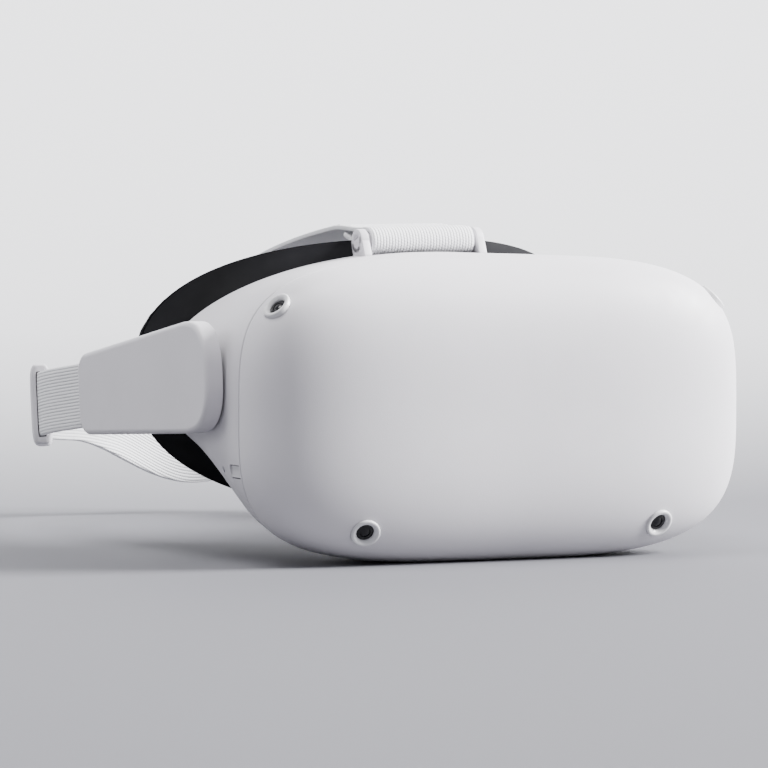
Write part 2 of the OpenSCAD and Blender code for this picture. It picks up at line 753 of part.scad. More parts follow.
front_cover();
side_housing();
mid_frame();
lens_plate();
strap_bar();
camera(upper_camera, RIGHT);  // camera_upper_right
camera(upper_camera, LEFT);  // camera_upper_left
camera(lower_camera, RIGHT);  // camera_lower_right
camera(lower_camera, LEFT);  // camera_lower_left
camera_windows();
display_panel();
main_board();
processor();
heat_sink();
fan_housing();
fan_rotor();
battery_pack();
usb_socket();
headphone_socket();
power_button();
volume_button(0);  // volume_up_button
volume_button(1);  // volume_down_button
button_switches();
status_light();
wear_sensor();
guide_rods();
lens_barrel(RIGHT);  // lens_barrel_right
lens_barrel(LEFT);  // lens_barrel_left
lens(RIGHT);  // lens_right
lens(LEFT);  // lens_left
face_frame();
face_foam();
pivot_pin(RIGHT);  // pivot_pin_right
pivot_pin(LEFT);  // pivot_pin_left
arm_shell(RIGHT);  // arm_shell_right
arm_shell(LEFT);  // arm_shell_left
arm_lid(RIGHT);  // arm_lid_right
arm_lid(LEFT);  // arm_lid_left
speaker(RIGHT);  // speaker_right
speaker(LEFT);  // speaker_left
side_strap(RIGHT);  // side_strap_right
side_strap(LEFT);  // side_strap_left
strap_slider(RIGHT);  // strap_slider_right
strap_slider(LEFT);  // strap_slider_left
back_strap();
top_strap();
top_strap_loop();
frame_screws();
plate_screws();
arm_screws();
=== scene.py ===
"""Dresses the virtual reality headset in shells, foam, webbing and lenses, and lights it in a studio."""

import json
import logging
import math
from contextlib import contextmanager
from dataclasses import dataclass, field
from enum import Enum
from typing import Callable, Iterator, Sequence

import bmesh
import bpy
from mathutils import Matrix, Vector


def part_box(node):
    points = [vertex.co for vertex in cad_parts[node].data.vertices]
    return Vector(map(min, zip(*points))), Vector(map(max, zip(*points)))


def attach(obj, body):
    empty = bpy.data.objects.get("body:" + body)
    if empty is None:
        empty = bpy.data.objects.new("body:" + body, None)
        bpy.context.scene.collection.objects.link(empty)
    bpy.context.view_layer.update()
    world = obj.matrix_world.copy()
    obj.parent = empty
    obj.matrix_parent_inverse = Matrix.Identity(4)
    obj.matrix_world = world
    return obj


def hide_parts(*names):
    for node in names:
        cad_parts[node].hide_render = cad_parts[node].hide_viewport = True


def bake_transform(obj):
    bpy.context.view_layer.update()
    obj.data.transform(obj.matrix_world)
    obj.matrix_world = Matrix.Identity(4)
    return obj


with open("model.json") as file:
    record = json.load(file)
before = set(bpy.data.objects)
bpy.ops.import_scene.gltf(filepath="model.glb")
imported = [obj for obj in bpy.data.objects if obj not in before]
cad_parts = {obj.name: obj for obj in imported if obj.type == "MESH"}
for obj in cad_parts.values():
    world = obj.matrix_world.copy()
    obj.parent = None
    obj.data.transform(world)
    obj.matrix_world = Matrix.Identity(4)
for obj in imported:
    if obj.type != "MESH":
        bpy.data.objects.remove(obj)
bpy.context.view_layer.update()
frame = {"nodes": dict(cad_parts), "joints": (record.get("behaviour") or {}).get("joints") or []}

log = logging.getLogger("headset")

Piece = bpy.types.Object
Material = bpy.types.Material
Socket = bpy.types.NodeSocket
Place = Callable[[float, int], Vector]
Pair = tuple[float, float]
Triple = tuple[float, float, float]

TURN = 2 * math.pi
QUARTER = math.pi / 2
MERGE = 0.00001
KEY_RIM = 0.0008
KEY_GAP = 0.0003


class Side(Enum):
    """The wearer's side that a piece sits on, as the sign of its x."""

    RIGHT = -1
    LEFT = 1

    @property
    def word(self) -> str:
        """The side as it stands in node names."""
        return self.name.lower()


# ---- Working by hand: selection, edit mode and modifiers ---------------------


def pick(*pieces: Piece) -> None:
    """Selects only these pieces and makes the last one active.

    Args:
        pieces: The pieces to select; none deselects everything.
    """
    if bpy.context.object and bpy.context.object.mode != "OBJECT":
        bpy.ops.object.mode_set(mode="OBJECT")
    bpy.ops.object.select_all(action="DESELECT")
    for piece in pieces:
        piece.select_set(True)
        bpy.context.view_layer.objects.active = piece


@contextmanager
def editing(piece: Piece) -> Iterator[None]:
    """Opens a piece in edit mode with nothing selected.

    Args:
        piece: The mesh object to edit.
    """
    pick(piece)
    bpy.ops.object.mode_set(mode="EDIT")
    bpy.ops.mesh.select_mode(type="VERT")
    bpy.ops.mesh.select_all(action="DESELECT")
    yield
    bpy.ops.object.mode_set(mode="OBJECT")


def named(name: str) -> Piece:
    """Names the piece that was just added and returns it.

    Args:
        name: The piece's name.

    Returns:
        The active object.
    """
    piece = bpy.context.object
    piece.name = name
    piece.data.name = name
    return piece


def modify(piece: Piece, kind: str, **settings: object) -> None:
    """Adds a modifier with these settings and applies it.

    Args:
        piece: The piece to change.
        kind: The modifier's type.
        settings: Its properties by name.
    """
    pick(piece)
    bpy.ops.object.modifier_add(type=kind)
    modifier = piece.modifiers[-1]
    for key, value in settings.items():
        setattr(modifier, key, value)
    bpy.ops.object.modifier_apply(modifier=modifier.name)


def subdivide(piece: Piece, levels: int = 1) -> None:
    """Smooths a piece with an applied Subdivision Surface.

    Args:
        piece: The piece to smooth.
        levels: How many times each face is split.
    """
    modify(piece, "SUBSURF", levels=levels, render_levels=levels)


def smooth(piece: Piece, angle: float = 40.0) -> None:
    """Shades a piece smooth, apart from edges sharper than the angle.

    Args:
        piece: The piece to shade.
        angle: The sharpest smooth edge, in degrees.
    """
    pick(piece)
    bpy.ops.object.shade_smooth_by_angle(angle=math.radians(angle))


def face_outwards() -> None:
    """Turns every face of the piece in edit mode outwards."""
    bpy.ops.mesh.select_all(action="SELECT")
    bpy.ops.mesh.normals_make_consistent(inside=False)


def tidy(piece: Piece, close: bool = False) -> None:
    """Merges doubled points, closes open ends if asked and turns the faces outwards.

    Args:
        piece: The piece to clean.
        close: Whether open ends are filled.
    """
    with editing(piece):
        bpy.ops.mesh.select_all(action="SELECT")
        bpy.ops.mesh.remove_doubles(threshold=MERGE)
        if close:
            bpy.ops.mesh.select_all(action="SELECT")
            bpy.ops.mesh.fill_holes(sides=0)
        face_outwards()


def join(name: str, pieces: Sequence[Piece]) -> Piece:
    """Joins pieces into one.

    Args:
        name: The joined piece's name.
        pieces: At least one piece.

    Returns:
        The joined piece.
    """
    pick(*pieces)
    bpy.ops.object.join()
    return named(name)


def carve(piece: Piece, cutters: Sequence[Piece]) -> None:
    """Cuts closed cutters out of a piece and removes them.

    Args:
        piece: The piece to cut.
        cutters: The solids to take away.
    """
    cutter = join("cutter", cutters)
    modify(piece, "BOOLEAN", operation="DIFFERENCE", solver="EXACT", object=cutter)
    bpy.data.objects.remove(cutter)


# ---- Shapes that many pieces start from --------------------------------------


def signed_power(value: float, power: float) -> float:
    """Raises the size of a value to a power and keeps its sign."""
    return math.copysign(abs(value) ** power, value)


def mix(low: float, high: float, share: float) -> float:
    """The value a share of the way from low to high."""
    return low + (high - low) * share


def clamp(value: float) -> float:
    """Limits a value to 0 to 1."""
    return min(max(value, 0.0), 1.0)


def ease(value: float) -> float:
    """A smooth step from 0 to 1."""
    share = clamp(value)
    return share * share * (3 - 2 * share)


def tube(name: str, around: int, levels: int, place: Place) -> Piece:
    """Extrudes a ring level by level, and moves each point to its place.

    Args:
        name: The piece's name.
        around: How many points the ring has.
        levels: How many rings there are.
        place: Gives a point from its angle in radians and its level.

    Returns:
        An open tube; rings that meet are merged by tidy.
    """
    pick()
    bpy.ops.mesh.primitive_circle_add(vertices=around, radius=1.0, rotation=(QUARTER, 0, 0))
    piece = named(name)
    bpy.ops.object.transform_apply(location=False, rotation=True, scale=False)
    with editing(piece):
        bpy.ops.mesh.select_all(action="SELECT")
        for _ in range(levels - 1):
            bpy.ops.mesh.extrude_region_move(TRANSFORM_OT_translate={"value": (0, 1, 0)})
    for vertex in piece.data.vertices:
        angle = math.atan2(vertex.co.z, vertex.co.x)
        vertex.co = place(angle, round(vertex.co.y))
    return piece


def lathe(name: str, profile: Sequence[Pair], axis: Matrix, steps: int = 64) -> Piece:
    """Turns a profile round an axis.

    Args:
        name: The piece's name.
        profile: Radius and height of each point, from the foot to the top.
        axis: Places the turned piece, whose axis is z.
        steps: How many faces go round.

    Returns:
        The turned piece, closed where its profile meets the axis.
    """

    def spot(angle: float, level: int) -> Vector:
        radius, height = profile[level]
        return axis @ Vector((radius * math.cos(angle), radius * math.sin(angle), height))

    piece = tube(name, steps, len(profile), spot)
    tidy(piece)
    return piece


def rounded_box(name: str, middle: Vector, size: Vector, radius: float, segments: int = 3) -> Piece:
    """Adds a block with bevelled edges.

    Args:
        name: The piece's name.
        middle: The block's centre.
        size: Its length along x, y and z.
        radius: The edges' radius.
        segments: How many faces each rounding has.

    Returns:
        The block.
    """
    pick()
    bpy.ops.mesh.primitive_cube_add(size=1.0, location=middle)
    piece = named(name)
    piece.scale = size
    bpy.ops.object.transform_apply(location=True, rotation=True, scale=True)
    if radius > 0:
        with editing(piece):
            bpy.ops.mesh.select_all(action="SELECT")
            bpy.ops.mesh.bevel(offset=radius, segments=segments, profile=0.5)
    return piece


def rod(name: str, axis: Matrix, radius: float, length: float, steps: int = 48) -> Piece:
    """Adds a closed cylinder that starts at the axis's origin and runs along its z.

    Args:
        name: The piece's name.
        axis: Where the rod starts and which way it points.
        radius: Its radius.
        length: Its length.
        steps: How many faces go round.

    Returns:
        The rod.
    """
    pick()
    bpy.ops.mesh.primitive_cylinder_add(vertices=steps, radius=radius, depth=length, location=(0, 0, length / 2))
    piece = named(name)
    bpy.ops.object.transform_apply(location=True, rotation=True, scale=True)
    piece.data.transform(axis)
    return piece


def axis_at(place: Vector, direction: Vector) -> Matrix:
    """A frame at a place whose z points along a direction.

    Args:
        place: The frame's origin.
        direction: Where z points.

    Returns:
        The frame as a matrix.
    """
    return Matrix.Translation(place) @ direction.to_track_quat("Z", "Y").to_matrix().to_4x4()


@dataclass(frozen=True)
class Station:
    """One cross-section of a strap: its middle, its two directions and its size."""

    middle: Vector
    across: Vector
    out: Vector
    width: float
    thickness: float


def strap(name: str, route: Sequence[Station], around: int = 40, square: float = 7.0) -> Piece:
    """Sweeps a flat strap with rounded edges along its route, with a UV map in metres.

    Args:
        name: The piece's name.
        route: The cross-sections in order.
        around: How many points each has.
        square: How squared each is; 2 is an ellipse.

    Returns:
        The strap, closed at both ends.
    """

    def spot(angle: float, level: int) -> Vector:
        station = route[level]
        wide = station.width / 2 * signed_power(math.cos(angle), 2 / square)
        high = station.thickness / 2 * signed_power(math.sin(angle), 2 / square)
        return station.middle + station.across * wide + station.out * high

    piece = tube(name, around, len(route), spot)
    lengths = [0.0]
    for before, after in zip(route, route[1:]):
        lengths.append(lengths[-1] + (after.middle - before.middle).length)
    layer = piece.data.uv_layers.new(name="weave")
    for loop in piece.data.loops:
        level = min(loop.vertex_index // around, len(route) - 1)
        station = route[level]
        wide = (piece.data.vertices[loop.vertex_index].co - station.middle).dot(station.across)
        layer.data[loop.index].uv = (lengths[level], wide)
    tidy(piece, close=True)
    smooth(piece, 50)
    return piece


# ---- Finishes ----------------------------------------------------------------


class Recipe:
    """A material's node tree, built one node at a time."""

    def __init__(self, name: str) -> None:
        """Starts an empty tree with one shader.

        Args:
            name: The material's name.
        """
        self.material = bpy.data.materials.new(name)
        self.material.use_nodes = True
        self.tree = self.material.node_tree
        self.shader = self.tree.nodes["Principled BSDF"]
        self.object_place = self.node("ShaderNodeTexCoord").outputs["Object"]

    def node(self, kind: str, inputs: dict[str | int, object] | None = None, **settings: object) -> bpy.types.Node:
        """Adds a node, sets its properties, and fills or links its inputs.

        Args:
            kind: The node's type.
            inputs: A value or an output socket for each input by name or number.
            settings: The node's own properties.

        Returns:
            The node.
        """
        made = self.tree.nodes.new(kind)
        for key, value in settings.items():
            setattr(made, key, value)
        for key, value in (inputs or {}).items():
            if isinstance(value, Socket):
                self.tree.links.new(value, made.inputs[key])
            else:
                made.inputs[key].default_value = value
        return made

    def noise(self, scale: float, detail: float = 2.0, place: Socket | None = None) -> Socket:
        """Adds a noise pattern.

        Args:
            scale: Its features per metre.
            detail: How many octaves it has.
            place: The coordinates it reads; the object's own by default.

        Returns:
            The pattern's value.
        """
        source = place or self.object_place
        made = self.node("ShaderNodeTexNoise", {"Vector": source, "Scale": scale, "Detail": detail})
        return made.outputs["Fac"]

    def ramp(self, value: Socket, low: float, high: float, to_low: float, to_high: float) -> Socket:
        """Maps a value from one range to another.

        Args:
            value: The pattern to map.
            low: Where its range starts.
            high: Where its range ends.
            to_low: What low becomes.
            to_high: What high becomes.

        Returns:
            The mapped value.
        """
        made = self.node(
            "ShaderNodeMapRange",
            {"Value": value, "From Min": low, "From Max": high, "To Min": to_low, "To Max": to_high},
        )
        return made.outputs["Result"]

    def tint(self, value: Socket, first: Sequence[float], second: Sequence[float]) -> Socket:
        """Blends two colours by a pattern.

        Args:
            value: The pattern, from 0 to 1.
            first: The colour at 0.
            second: The colour at 1.

        Returns:
            The blended colour.
        """
        made = self.node(
            "ShaderNodeMix",
            {0: value, 6: (*first, 1.0), 7: (*second, 1.0)},
            data_type="RGBA",
        )
        return made.outputs[2]

    def math(self, operation: str, first: object, second: object) -> Socket:
        """Combines two values.

        Args:
            operation: The sum to do.
            first: A number or a socket.
            second: A number or a socket.

        Returns:
            The result.
        """
        return self.node("ShaderNodeMath", {0: first, 1: second}, operation=operation).outputs[0]

    def feed(self, name: str, value: object) -> None:
        """Sets or links one of the shader's sockets.

        Args:
            name: The socket.
            value: A number, a colour or an output socket.
        """
        if isinstance(value, Socket):
            self.tree.links.new(value, self.shader.inputs[name])
        else:
            self.shader.inputs[name].default_value = value

    def relief(self, *layers: tuple[Socket, float]) -> None:
        """Raises the surface by patterns, one over another.

        Args:
            layers: Each pattern and the height in metres that it reaches.
        """
        normal = None
        for height, distance in layers:
            inputs: dict[str | int, object] = {"Height": height, "Strength": 1.0, "Distance": distance}
            if normal:
                inputs["Normal"] = normal
            normal = self.node("ShaderNodeBump", inputs).outputs["Normal"]
        self.feed("Normal", normal)


@dataclass(frozen=True)
class Moulding:
    """Injection-moulded plastic: a fine spark-eroded grain over a slightly uneven colour."""

    name: str
    colour: Triple
    shade: Triple
    roughness: float = 0.52
    grain: float = 2600.0
    grain_height: float = 0.00002
    clouding: float = 22.0
    shine: float = 0.5

    def make(self) -> Material:
        """Builds the material."""
        recipe = Recipe(self.name)
        cloud = recipe.ramp(recipe.noise(self.clouding, 4.0), 0.35, 0.65, 0.0, 1.0)
        recipe.feed("Base Color", recipe.tint(cloud, self.colour, self.shade))
        handling = recipe.noise(self.clouding * 7, 5.0)
        recipe.feed("Roughness", recipe.ramp(handling, 0.3, 0.7, self.roughness - 0.06, self.roughness + 0.06))
        recipe.feed("Specular IOR Level", self.shine)
        recipe.relief((recipe.noise(self.grain, 1.0), self.grain_height))
        return recipe.material


@dataclass(frozen=True)
class Foam:
    """A knitted skin over foam: small loops in rows, with lint, and loop tips painted lighter than the gaps:
    painted highlight on the tips and painted shade between loops.
    """

    name: str
    colour: Triple = (0.003, 0.003, 0.004)
    # Lighter colour on the raised loop tips: painted highlight.
    tips: Triple = (0.012, 0.012, 0.015)
    loops: float = 1100.0

    def make(self) -> Material:
        """Builds the material."""
        recipe = Recipe(self.name)
        cell = recipe.node("ShaderNodeTexVoronoi", {"Vector": recipe.object_place, "Scale": self.loops})
        loop = recipe.ramp(cell.outputs["Distance"], 0.0, 0.7, 1.0, 0.0)
        lint = recipe.noise(260.0, 6.0)
        loop_shade_and_lint = recipe.math("MULTIPLY", loop, recipe.ramp(lint, 0.3, 0.7, 0.35, 1.0))
        # Loop tips get the lighter colour and the gaps between loops the darker one, from the same mask as the loop
        # bump: painted highlight and painted shade, mottled by random lint.
        recipe.feed("Base Color", recipe.tint(loop_shade_and_lint, self.colour, self.tips))
        recipe.feed("Roughness", recipe.ramp(lint, 0.3, 0.7, 0.82, 0.97))
        recipe.feed("Sheen Weight", 0.015)
        recipe.feed("Specular IOR Level", 0.06)
        recipe.feed("Sheen Roughness", 0.5)
        recipe.relief((recipe.noise(120.0, 3.0), 0.0003), (loop, 0.00022))
        return recipe.material


@dataclass(frozen=True)
class Webbing:
    """Tightly woven elastic: warp cords along the strap, crossed by fine picks."""

    name: str
    colour: Triple = (0.86, 0.86, 0.88)
    # Darker colour in the grooves between cords and picks: painted shade.
    groove: Triple = (0.66, 0.66, 0.68)
    warp: float = 0.0011
    pick: float = 0.0008

    def make(self) -> Material:
        """Builds the material."""
        recipe = Recipe(self.name)
        weave = recipe.node("ShaderNodeUVMap", uv_map="weave").outputs["UV"]
        parts = recipe.node("ShaderNodeSeparateXYZ", {"Vector": weave})
        along, across = parts.outputs["X"], parts.outputs["Y"]
        row = recipe.math("DIVIDE", across, self.warp)
        column = recipe.math("DIVIDE", along, self.pick)
        offset = recipe.math("MULTIPLY", recipe.math("FLOOR", row, 0.0), 0.5)
        cord = self.hump(recipe, row)
        stitch = self.hump(recipe, recipe.math("ADD", column, offset))
        height = recipe.math("MULTIPLY", cord, recipe.ramp(stitch, 0.0, 1.0, 0.55, 1.0))
        lint = recipe.noise(900.0, 4.0, weave)
        dirt = recipe.noise(35.0, 3.0)
        # Grooves between cords and picks get the darker colour from the weave's height: painted shade, times random
        # dirt on the cords.
        weave_shade_and_dirt = recipe.math("MULTIPLY", height, recipe.ramp(dirt, 0.3, 0.7, 0.8, 1.0))
        recipe.feed("Base Color", recipe.tint(weave_shade_and_dirt, self.groove, self.colour))
        recipe.feed("Roughness", recipe.ramp(lint, 0.3, 0.7, 0.8, 0.95))
        recipe.feed("Sheen Weight", 0.25)
        recipe.relief((lint, 0.00006), (height, 0.00022))
        return recipe.material

    @staticmethod
    def hump(recipe: Recipe, value: Socket) -> Socket:
        """A rounded cord for each whole step of a value.

        Args:
            recipe: The material being built.
            value: What the cords run across.

        Returns:
            1 on a cord's crown and 0 between two cords.
        """
        share = recipe.math("FRACT", value, 0.0)
        spread = recipe.math("ABSOLUTE", recipe.math("SUBTRACT", share, 0.5), 0.0)
        return recipe.ramp(recipe.math("POWER", spread, 2.0), 0.0, 0.25, 1.0, 0.0)


@dataclass(frozen=True)
class Gloss:
    """Polished dark plastic or glass with a faint film of dust."""

    name: str
    colour: Triple = (0.004, 0.004, 0.006)
    film: Triple = (0.012, 0.012, 0.014)
    roughness: float = 0.1
    coat: float = 0.1
    shine: float = 0.3

    def make(self) -> Material:
        """Builds the material."""
        recipe = Recipe(self.name)
        dust = recipe.ramp(recipe.noise(90.0, 5.0), 0.4, 0.75, 0.0, 1.0)
        recipe.feed("Base Color", recipe.tint(dust, self.colour, self.film))
        recipe.feed("Roughness", recipe.ramp(dust, 0.0, 1.0, self.roughness, self.roughness + 0.1))
        recipe.feed("Specular IOR Level", self.shine)
        recipe.feed("Coat Weight", self.coat)
        recipe.feed("Coat Roughness", 0.03)
        return recipe.material


@dataclass(frozen=True)
class ClearLens:
    """Clear moulded lens plastic with a hint of blue."""

    name: str
    colour: Triple = (0.86, 0.92, 0.97)

    def make(self) -> Material:
        """Builds the material."""
        recipe = Recipe(self.name)
        dust = recipe.ramp(recipe.noise(70.0, 5.0), 0.45, 0.8, 0.0, 1.0)
        recipe.feed("Base Color", recipe.tint(dust, self.colour, (0.8, 0.85, 0.9)))
        recipe.feed("Roughness", recipe.ramp(dust, 0.0, 1.0, 0.02, 0.1))
        recipe.feed("Transmission Weight", 0.92)
        recipe.feed("IOR", 1.49)
        return recipe.material


@dataclass(frozen=True)
class Metal:
    """Bare metal with fine drawn lines along one direction."""

    name: str
    colour: Triple = (0.55, 0.56, 0.58)
    roughness: float = 0.3
    stretch: Triple = (60.0, 1800.0, 1800.0)

    def make(self) -> Material:
        """Builds the material."""
        recipe = Recipe(self.name)
        lines = recipe.node("ShaderNodeMapping", {"Vector": recipe.object_place, "Scale": self.stretch})
        drawn = recipe.noise(1.0, 3.0, lines.outputs["Vector"])
        dark = tuple(channel * 0.8 for channel in self.colour)
        recipe.feed("Base Color", recipe.tint(drawn, dark, self.colour))
        recipe.feed("Metallic", 1.0)
        recipe.feed("Roughness", recipe.ramp(drawn, 0.3, 0.7, self.roughness - 0.08, self.roughness + 0.1))
        recipe.relief((drawn, 0.00001))
        return recipe.material


@dataclass(frozen=True)
class Board:
    """Circuit board lacquer with copper traces showing through as paler lines."""

    name: str
    colour: Triple = (0.008, 0.07, 0.035)
    trace: Triple = (0.02, 0.14, 0.07)

    def make(self) -> Material:
        """Builds the material."""
        recipe = Recipe(self.name)
        brick = recipe.node(
            "ShaderNodeTexVoronoi",
            {"Vector": recipe.object_place, "Scale": 260.0},
            distance="MANHATTAN",
            feature="F2",
        )
        lines = recipe.ramp(brick.outputs["Distance"], 0.55, 0.6, 0.0, 1.0)
        recipe.feed("Base Color", recipe.tint(lines, self.colour, self.trace))
        recipe.feed("Roughness", recipe.ramp(lines, 0.0, 1.0, 0.35, 0.28))
        recipe.relief((lines, 0.00004))
        return recipe.material


class Finishes:
    """Every finish on the headset, each made once."""

    def __init__(self) -> None:
        """Makes all the materials."""
        self.housing = Moulding("white_housing", (0.685, 0.668, 0.705), (0.655, 0.64, 0.675)).make()
        self.arm = Moulding("white_arm", (0.685, 0.668, 0.705), (0.655, 0.64, 0.675), roughness=0.48).make()
        self.bezel = Moulding("camera_bezel", (0.72, 0.715, 0.735), (0.69, 0.685, 0.70), roughness=0.35).make()
        self.key = Moulding("button_white", (0.64, 0.635, 0.66), (0.61, 0.605, 0.63), roughness=0.42).make()
        pad_colours = (0.006, 0.006, 0.007), (0.009, 0.009, 0.011)
        self.pad_frame = Moulding("pad_frame", *pad_colours, roughness=0.65, shine=0.06).make()
        self.black = Moulding("matt_black", (0.012, 0.012, 0.013), (0.018, 0.018, 0.02), roughness=0.7).make()
        self.chassis = Moulding("chassis_grey", (0.09, 0.09, 0.095), (0.12, 0.12, 0.125), roughness=0.55).make()
        self.wrap = Moulding("battery_film", (0.02, 0.022, 0.026), (0.03, 0.033, 0.038), roughness=0.3).make()
        self.foam = Foam("knitted_foam").make()
        self.webbing = Webbing("woven_strap").make()
        self.thread = Moulding("stitching", (0.78, 0.78, 0.80), (0.72, 0.72, 0.74), roughness=0.8).make()
        self.window = Gloss("camera_window").make()
        self.screen = Gloss("screen", (0.006, 0.006, 0.012), (0.01, 0.01, 0.016), 0.1).make()
        self.light = Gloss("light_guide", (0.7, 0.72, 0.74), (0.62, 0.64, 0.66), 0.2).make()
        self.lens = ClearLens("clear_lens").make()
        self.steel = Metal("plain_steel").make()
        self.aluminium = Metal("finned_aluminium", (0.7, 0.71, 0.73), 0.4).make()
        self.board = Board("board_lacquer").make()


def clothe(piece: Piece, finish: Material, nodes: Sequence[str]) -> None:
    """Gives a new piece its finish and hides the CAD nodes that it stands for.

    Args:
        piece: The finished piece.
        finish: Its material.
        nodes: The CAD nodes that it replaces.
    """
    piece.data.materials.clear()
    piece.data.materials.append(finish)
    if nodes:
        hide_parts(*nodes)


def dress(piece: Piece, finish: Material, body: str, slot: str, *nodes: str) -> Piece:
    """Clothes a new piece and puts it on its body.

    Args:
        piece: The finished piece.
        finish: Its material.
        body: The body that it rides on.
        slot: The record's material slot; not used.
        nodes: The CAD nodes that it replaces.

    Returns:
        The piece.
    """
    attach(piece, body)
    clothe(piece, finish, nodes)
    log.info("%s rides on %s with %d faces", piece.name, body, len(piece.data.polygons))
    return piece


def dress_free(piece: Piece, finish: Material, slot: str, *nodes: str) -> None:
    """Clothes a piece that bends between two bodies.

    Args:
        piece: The piece.
        finish: Its material.
        slot: The record's material slot; not used.
        nodes: The CAD nodes that it replaces.
    """
    clothe(piece, finish, nodes)
    log.info("%s bends between two bodies with %d faces", piece.name, len(piece.data.polygons))


def refinish(finish: Material, *nodes: str) -> None:
    """Gives CAD nodes that stay visible a finish.

    Args:
        finish: The material.
        nodes: The CAD nodes.
    """
    for node in nodes:
        mesh = frame["nodes"][node].data
        mesh.materials.clear()
        mesh.materials.append(finish)
        log.info("%s keeps its CAD shape with %s", node, finish.name)


# ---- The visor's form --------------------------------------------------------


def oval(angle: float, wide: float, high: float, square: float) -> Pair:
    """A point on a squared oval.

    Args:
        angle: Which way the point lies, in radians.
        wide: Half the oval's width.
        high: Half its height.
        square: How squared it is; 2 is an ellipse.

    Returns:
        The point's x and z from the middle.
    """
    across, up = math.cos(angle), math.sin(angle)
    reach = (abs(across) ** square + abs(up) ** square) ** (-1 / square)
    return wide * across * reach, high * up * reach


@dataclass(frozen=True)
class VisorForm:
    """The visor's outside: a squared oval, crowned in front and bent back at the temples."""

    half_w: float
    half_h: float
    top: float
    seam: float
    depth: float
    back: float
    wall: float = 0.002
    square: float = 3.6
    crown: float = 3.2
    step: float = 0.004
    step_length: float = 0.007
    sweep_start: float = 0.006
    narrow: float = 0.002
    shrink: float = 0.008
    back_square: float = 2.1
    tail: float = 0.024
    tail_curve: float = 2.4

    @classmethod
    def measured(cls, trim: float = 0.0006, plate_set_in: float = 0.008) -> "VisorForm":
        """Takes the overall sizes from the frame.

        Args:
            trim: How much of the oval the flat rest face cuts off.
            plate_set_in: How far the lens plate sits inside the housing's back edge.

        Returns:
            The form.
        """
        low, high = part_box("front_cover")
        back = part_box("lens_plate")[0].y + plate_set_in
        return cls(high.x, (high.z + trim) / 2, high.z, high.y, high.y - low.y, back)

    def cover(self, angle: float, share: float, inset: float) -> Vector:
        """A point on the front cover.

        Args:
            angle: Which way it lies from the middle.
            share: How far out it lies, from 0 at the middle to 1 at the seam.
            inset: How far inside the outer face it lies.

        Returns:
            The point.
        """
        x, z = oval(angle, (self.half_w - inset) * share, (self.half_h - inset) * share, self.square)
        rise = max(1 - share**self.crown, 0.0) ** (1 / self.crown)
        height = max(self.top - self.half_h + z, inset)
        return Vector((x, self.seam - (self.depth - inset) * rise, height))

    def cover_y(self, x: float, z: float) -> float:
        """The depth of the cover's face at a place."""
        rise = abs(z - self.top + self.half_h) / self.half_h
        share = ((abs(x) / self.half_w) ** self.square + rise**self.square) ** (1 / self.square)
        return self.seam - self.depth * max(1 - share**self.crown, 0.0) ** (1 / self.crown)

    def cover_normal(self, x: float, z: float, reach: float = 0.001) -> Vector:
        """The way the cover's face looks at a place, from points a reach away."""
        slope_x = self.cover_y(x + reach, z) - self.cover_y(x - reach, z)
        slope_z = self.cover_y(x, z + reach) - self.cover_y(x, z - reach)
        return Vector((slope_x, -2 * reach, slope_z)).normalized()

    def sweep(self, y: float) -> float:
        """How far the underside has swept up at a depth, from 0 to 1."""
        return clamp((y - self.sweep_start) / (self.back - self.sweep_start))

    def width(self, y: float) -> float:
        """Half the housing's width at a depth."""
        return self.half_w - self.step * ease((y - self.seam) / self.step_length) - self.narrow * self.sweep(y)

    def height(self, y: float) -> float:
        """Half the housing's height at a depth."""
        return self.half_h - self.shrink * self.sweep(y) ** 1.3

    def squareness(self, y: float) -> float:
        """How squared the housing is at a depth."""
        return mix(self.square, self.back_square, ease((y - self.seam) / (self.back - self.seam)))

    def housing(self, angle: float, y: float, inset: float) -> Vector:
        """A point on the side housing.

        Args:
            angle: Which way it lies from the middle.
            y: The depth of its ring.
            inset: How far inside the outer face it lies.

        Returns:
            The point.
        """
        wide, high = self.width(y), self.height(y)
        x, z = oval(angle, wide - inset, high - inset, self.squareness(y))
        bend = self.tail * self.sweep(y) ** 1.6 * clamp(abs(x) / wide) ** self.tail_curve
        return Vector((x, y + bend, max(self.top - high + z, inset)))


def slab(name: str, outline: Sequence[Pair], place: Matrix, thickness: float) -> Piece:
    """Extrudes a flat outline.

    Args:
        name: The piece's name.
        outline: The outline's points in the place's x and y.
        place: Where the outline lies; it is extruded along its z.
        thickness: How far.

    Returns:
        The slab.
    """
    pick()
    bpy.ops.mesh.primitive_circle_add(vertices=len(outline), radius=1.0, fill_type="NGON")
    piece = named(name)
    for vertex, (across, up) in zip(piece.data.vertices, outline):
        vertex.co = (across, up, 0)
    with editing(piece):
        bpy.ops.mesh.select_all(action="SELECT")
        bpy.ops.mesh.extrude_region_move(TRANSFORM_OT_translate={"value": (0, 0, thickness)})
        face_outwards()
    piece.data.transform(place)
    return piece


def choose(piece: Piece, test: Callable[[Sequence[Vector]], bool], kind: str = "faces") -> None:
    """Selects the faces or edges of a piece in edit mode whose corners pass a test.

    Args:
        piece: The piece, open in edit mode.
        test: Takes the corners' places.
        kind: Either faces or edges.
    """
    bpy.ops.mesh.select_all(action="DESELECT")
    shape = bmesh.from_edit_mesh(piece.data)
    bpy.ops.mesh.select_mode(type="FACE" if kind == "faces" else "EDGE")
    for item in getattr(shape, kind):
        item.select_set(test([corner.co for corner in item.verts]))
    shape.select_flush_mode()
    bmesh.update_edit_mesh(piece.data)


def crisp(piece: Piece, angle: float = 40.0) -> Piece:
    """Shades a bevelled piece smooth and keeps its flat faces flat.

    Args:
        piece: The piece.
        angle: The sharpest smooth edge, in degrees.

    Returns:
        The piece.
    """
    smooth(piece, angle)
    modify(piece, "WEIGHTED_NORMAL", keep_sharp=True)
    return piece


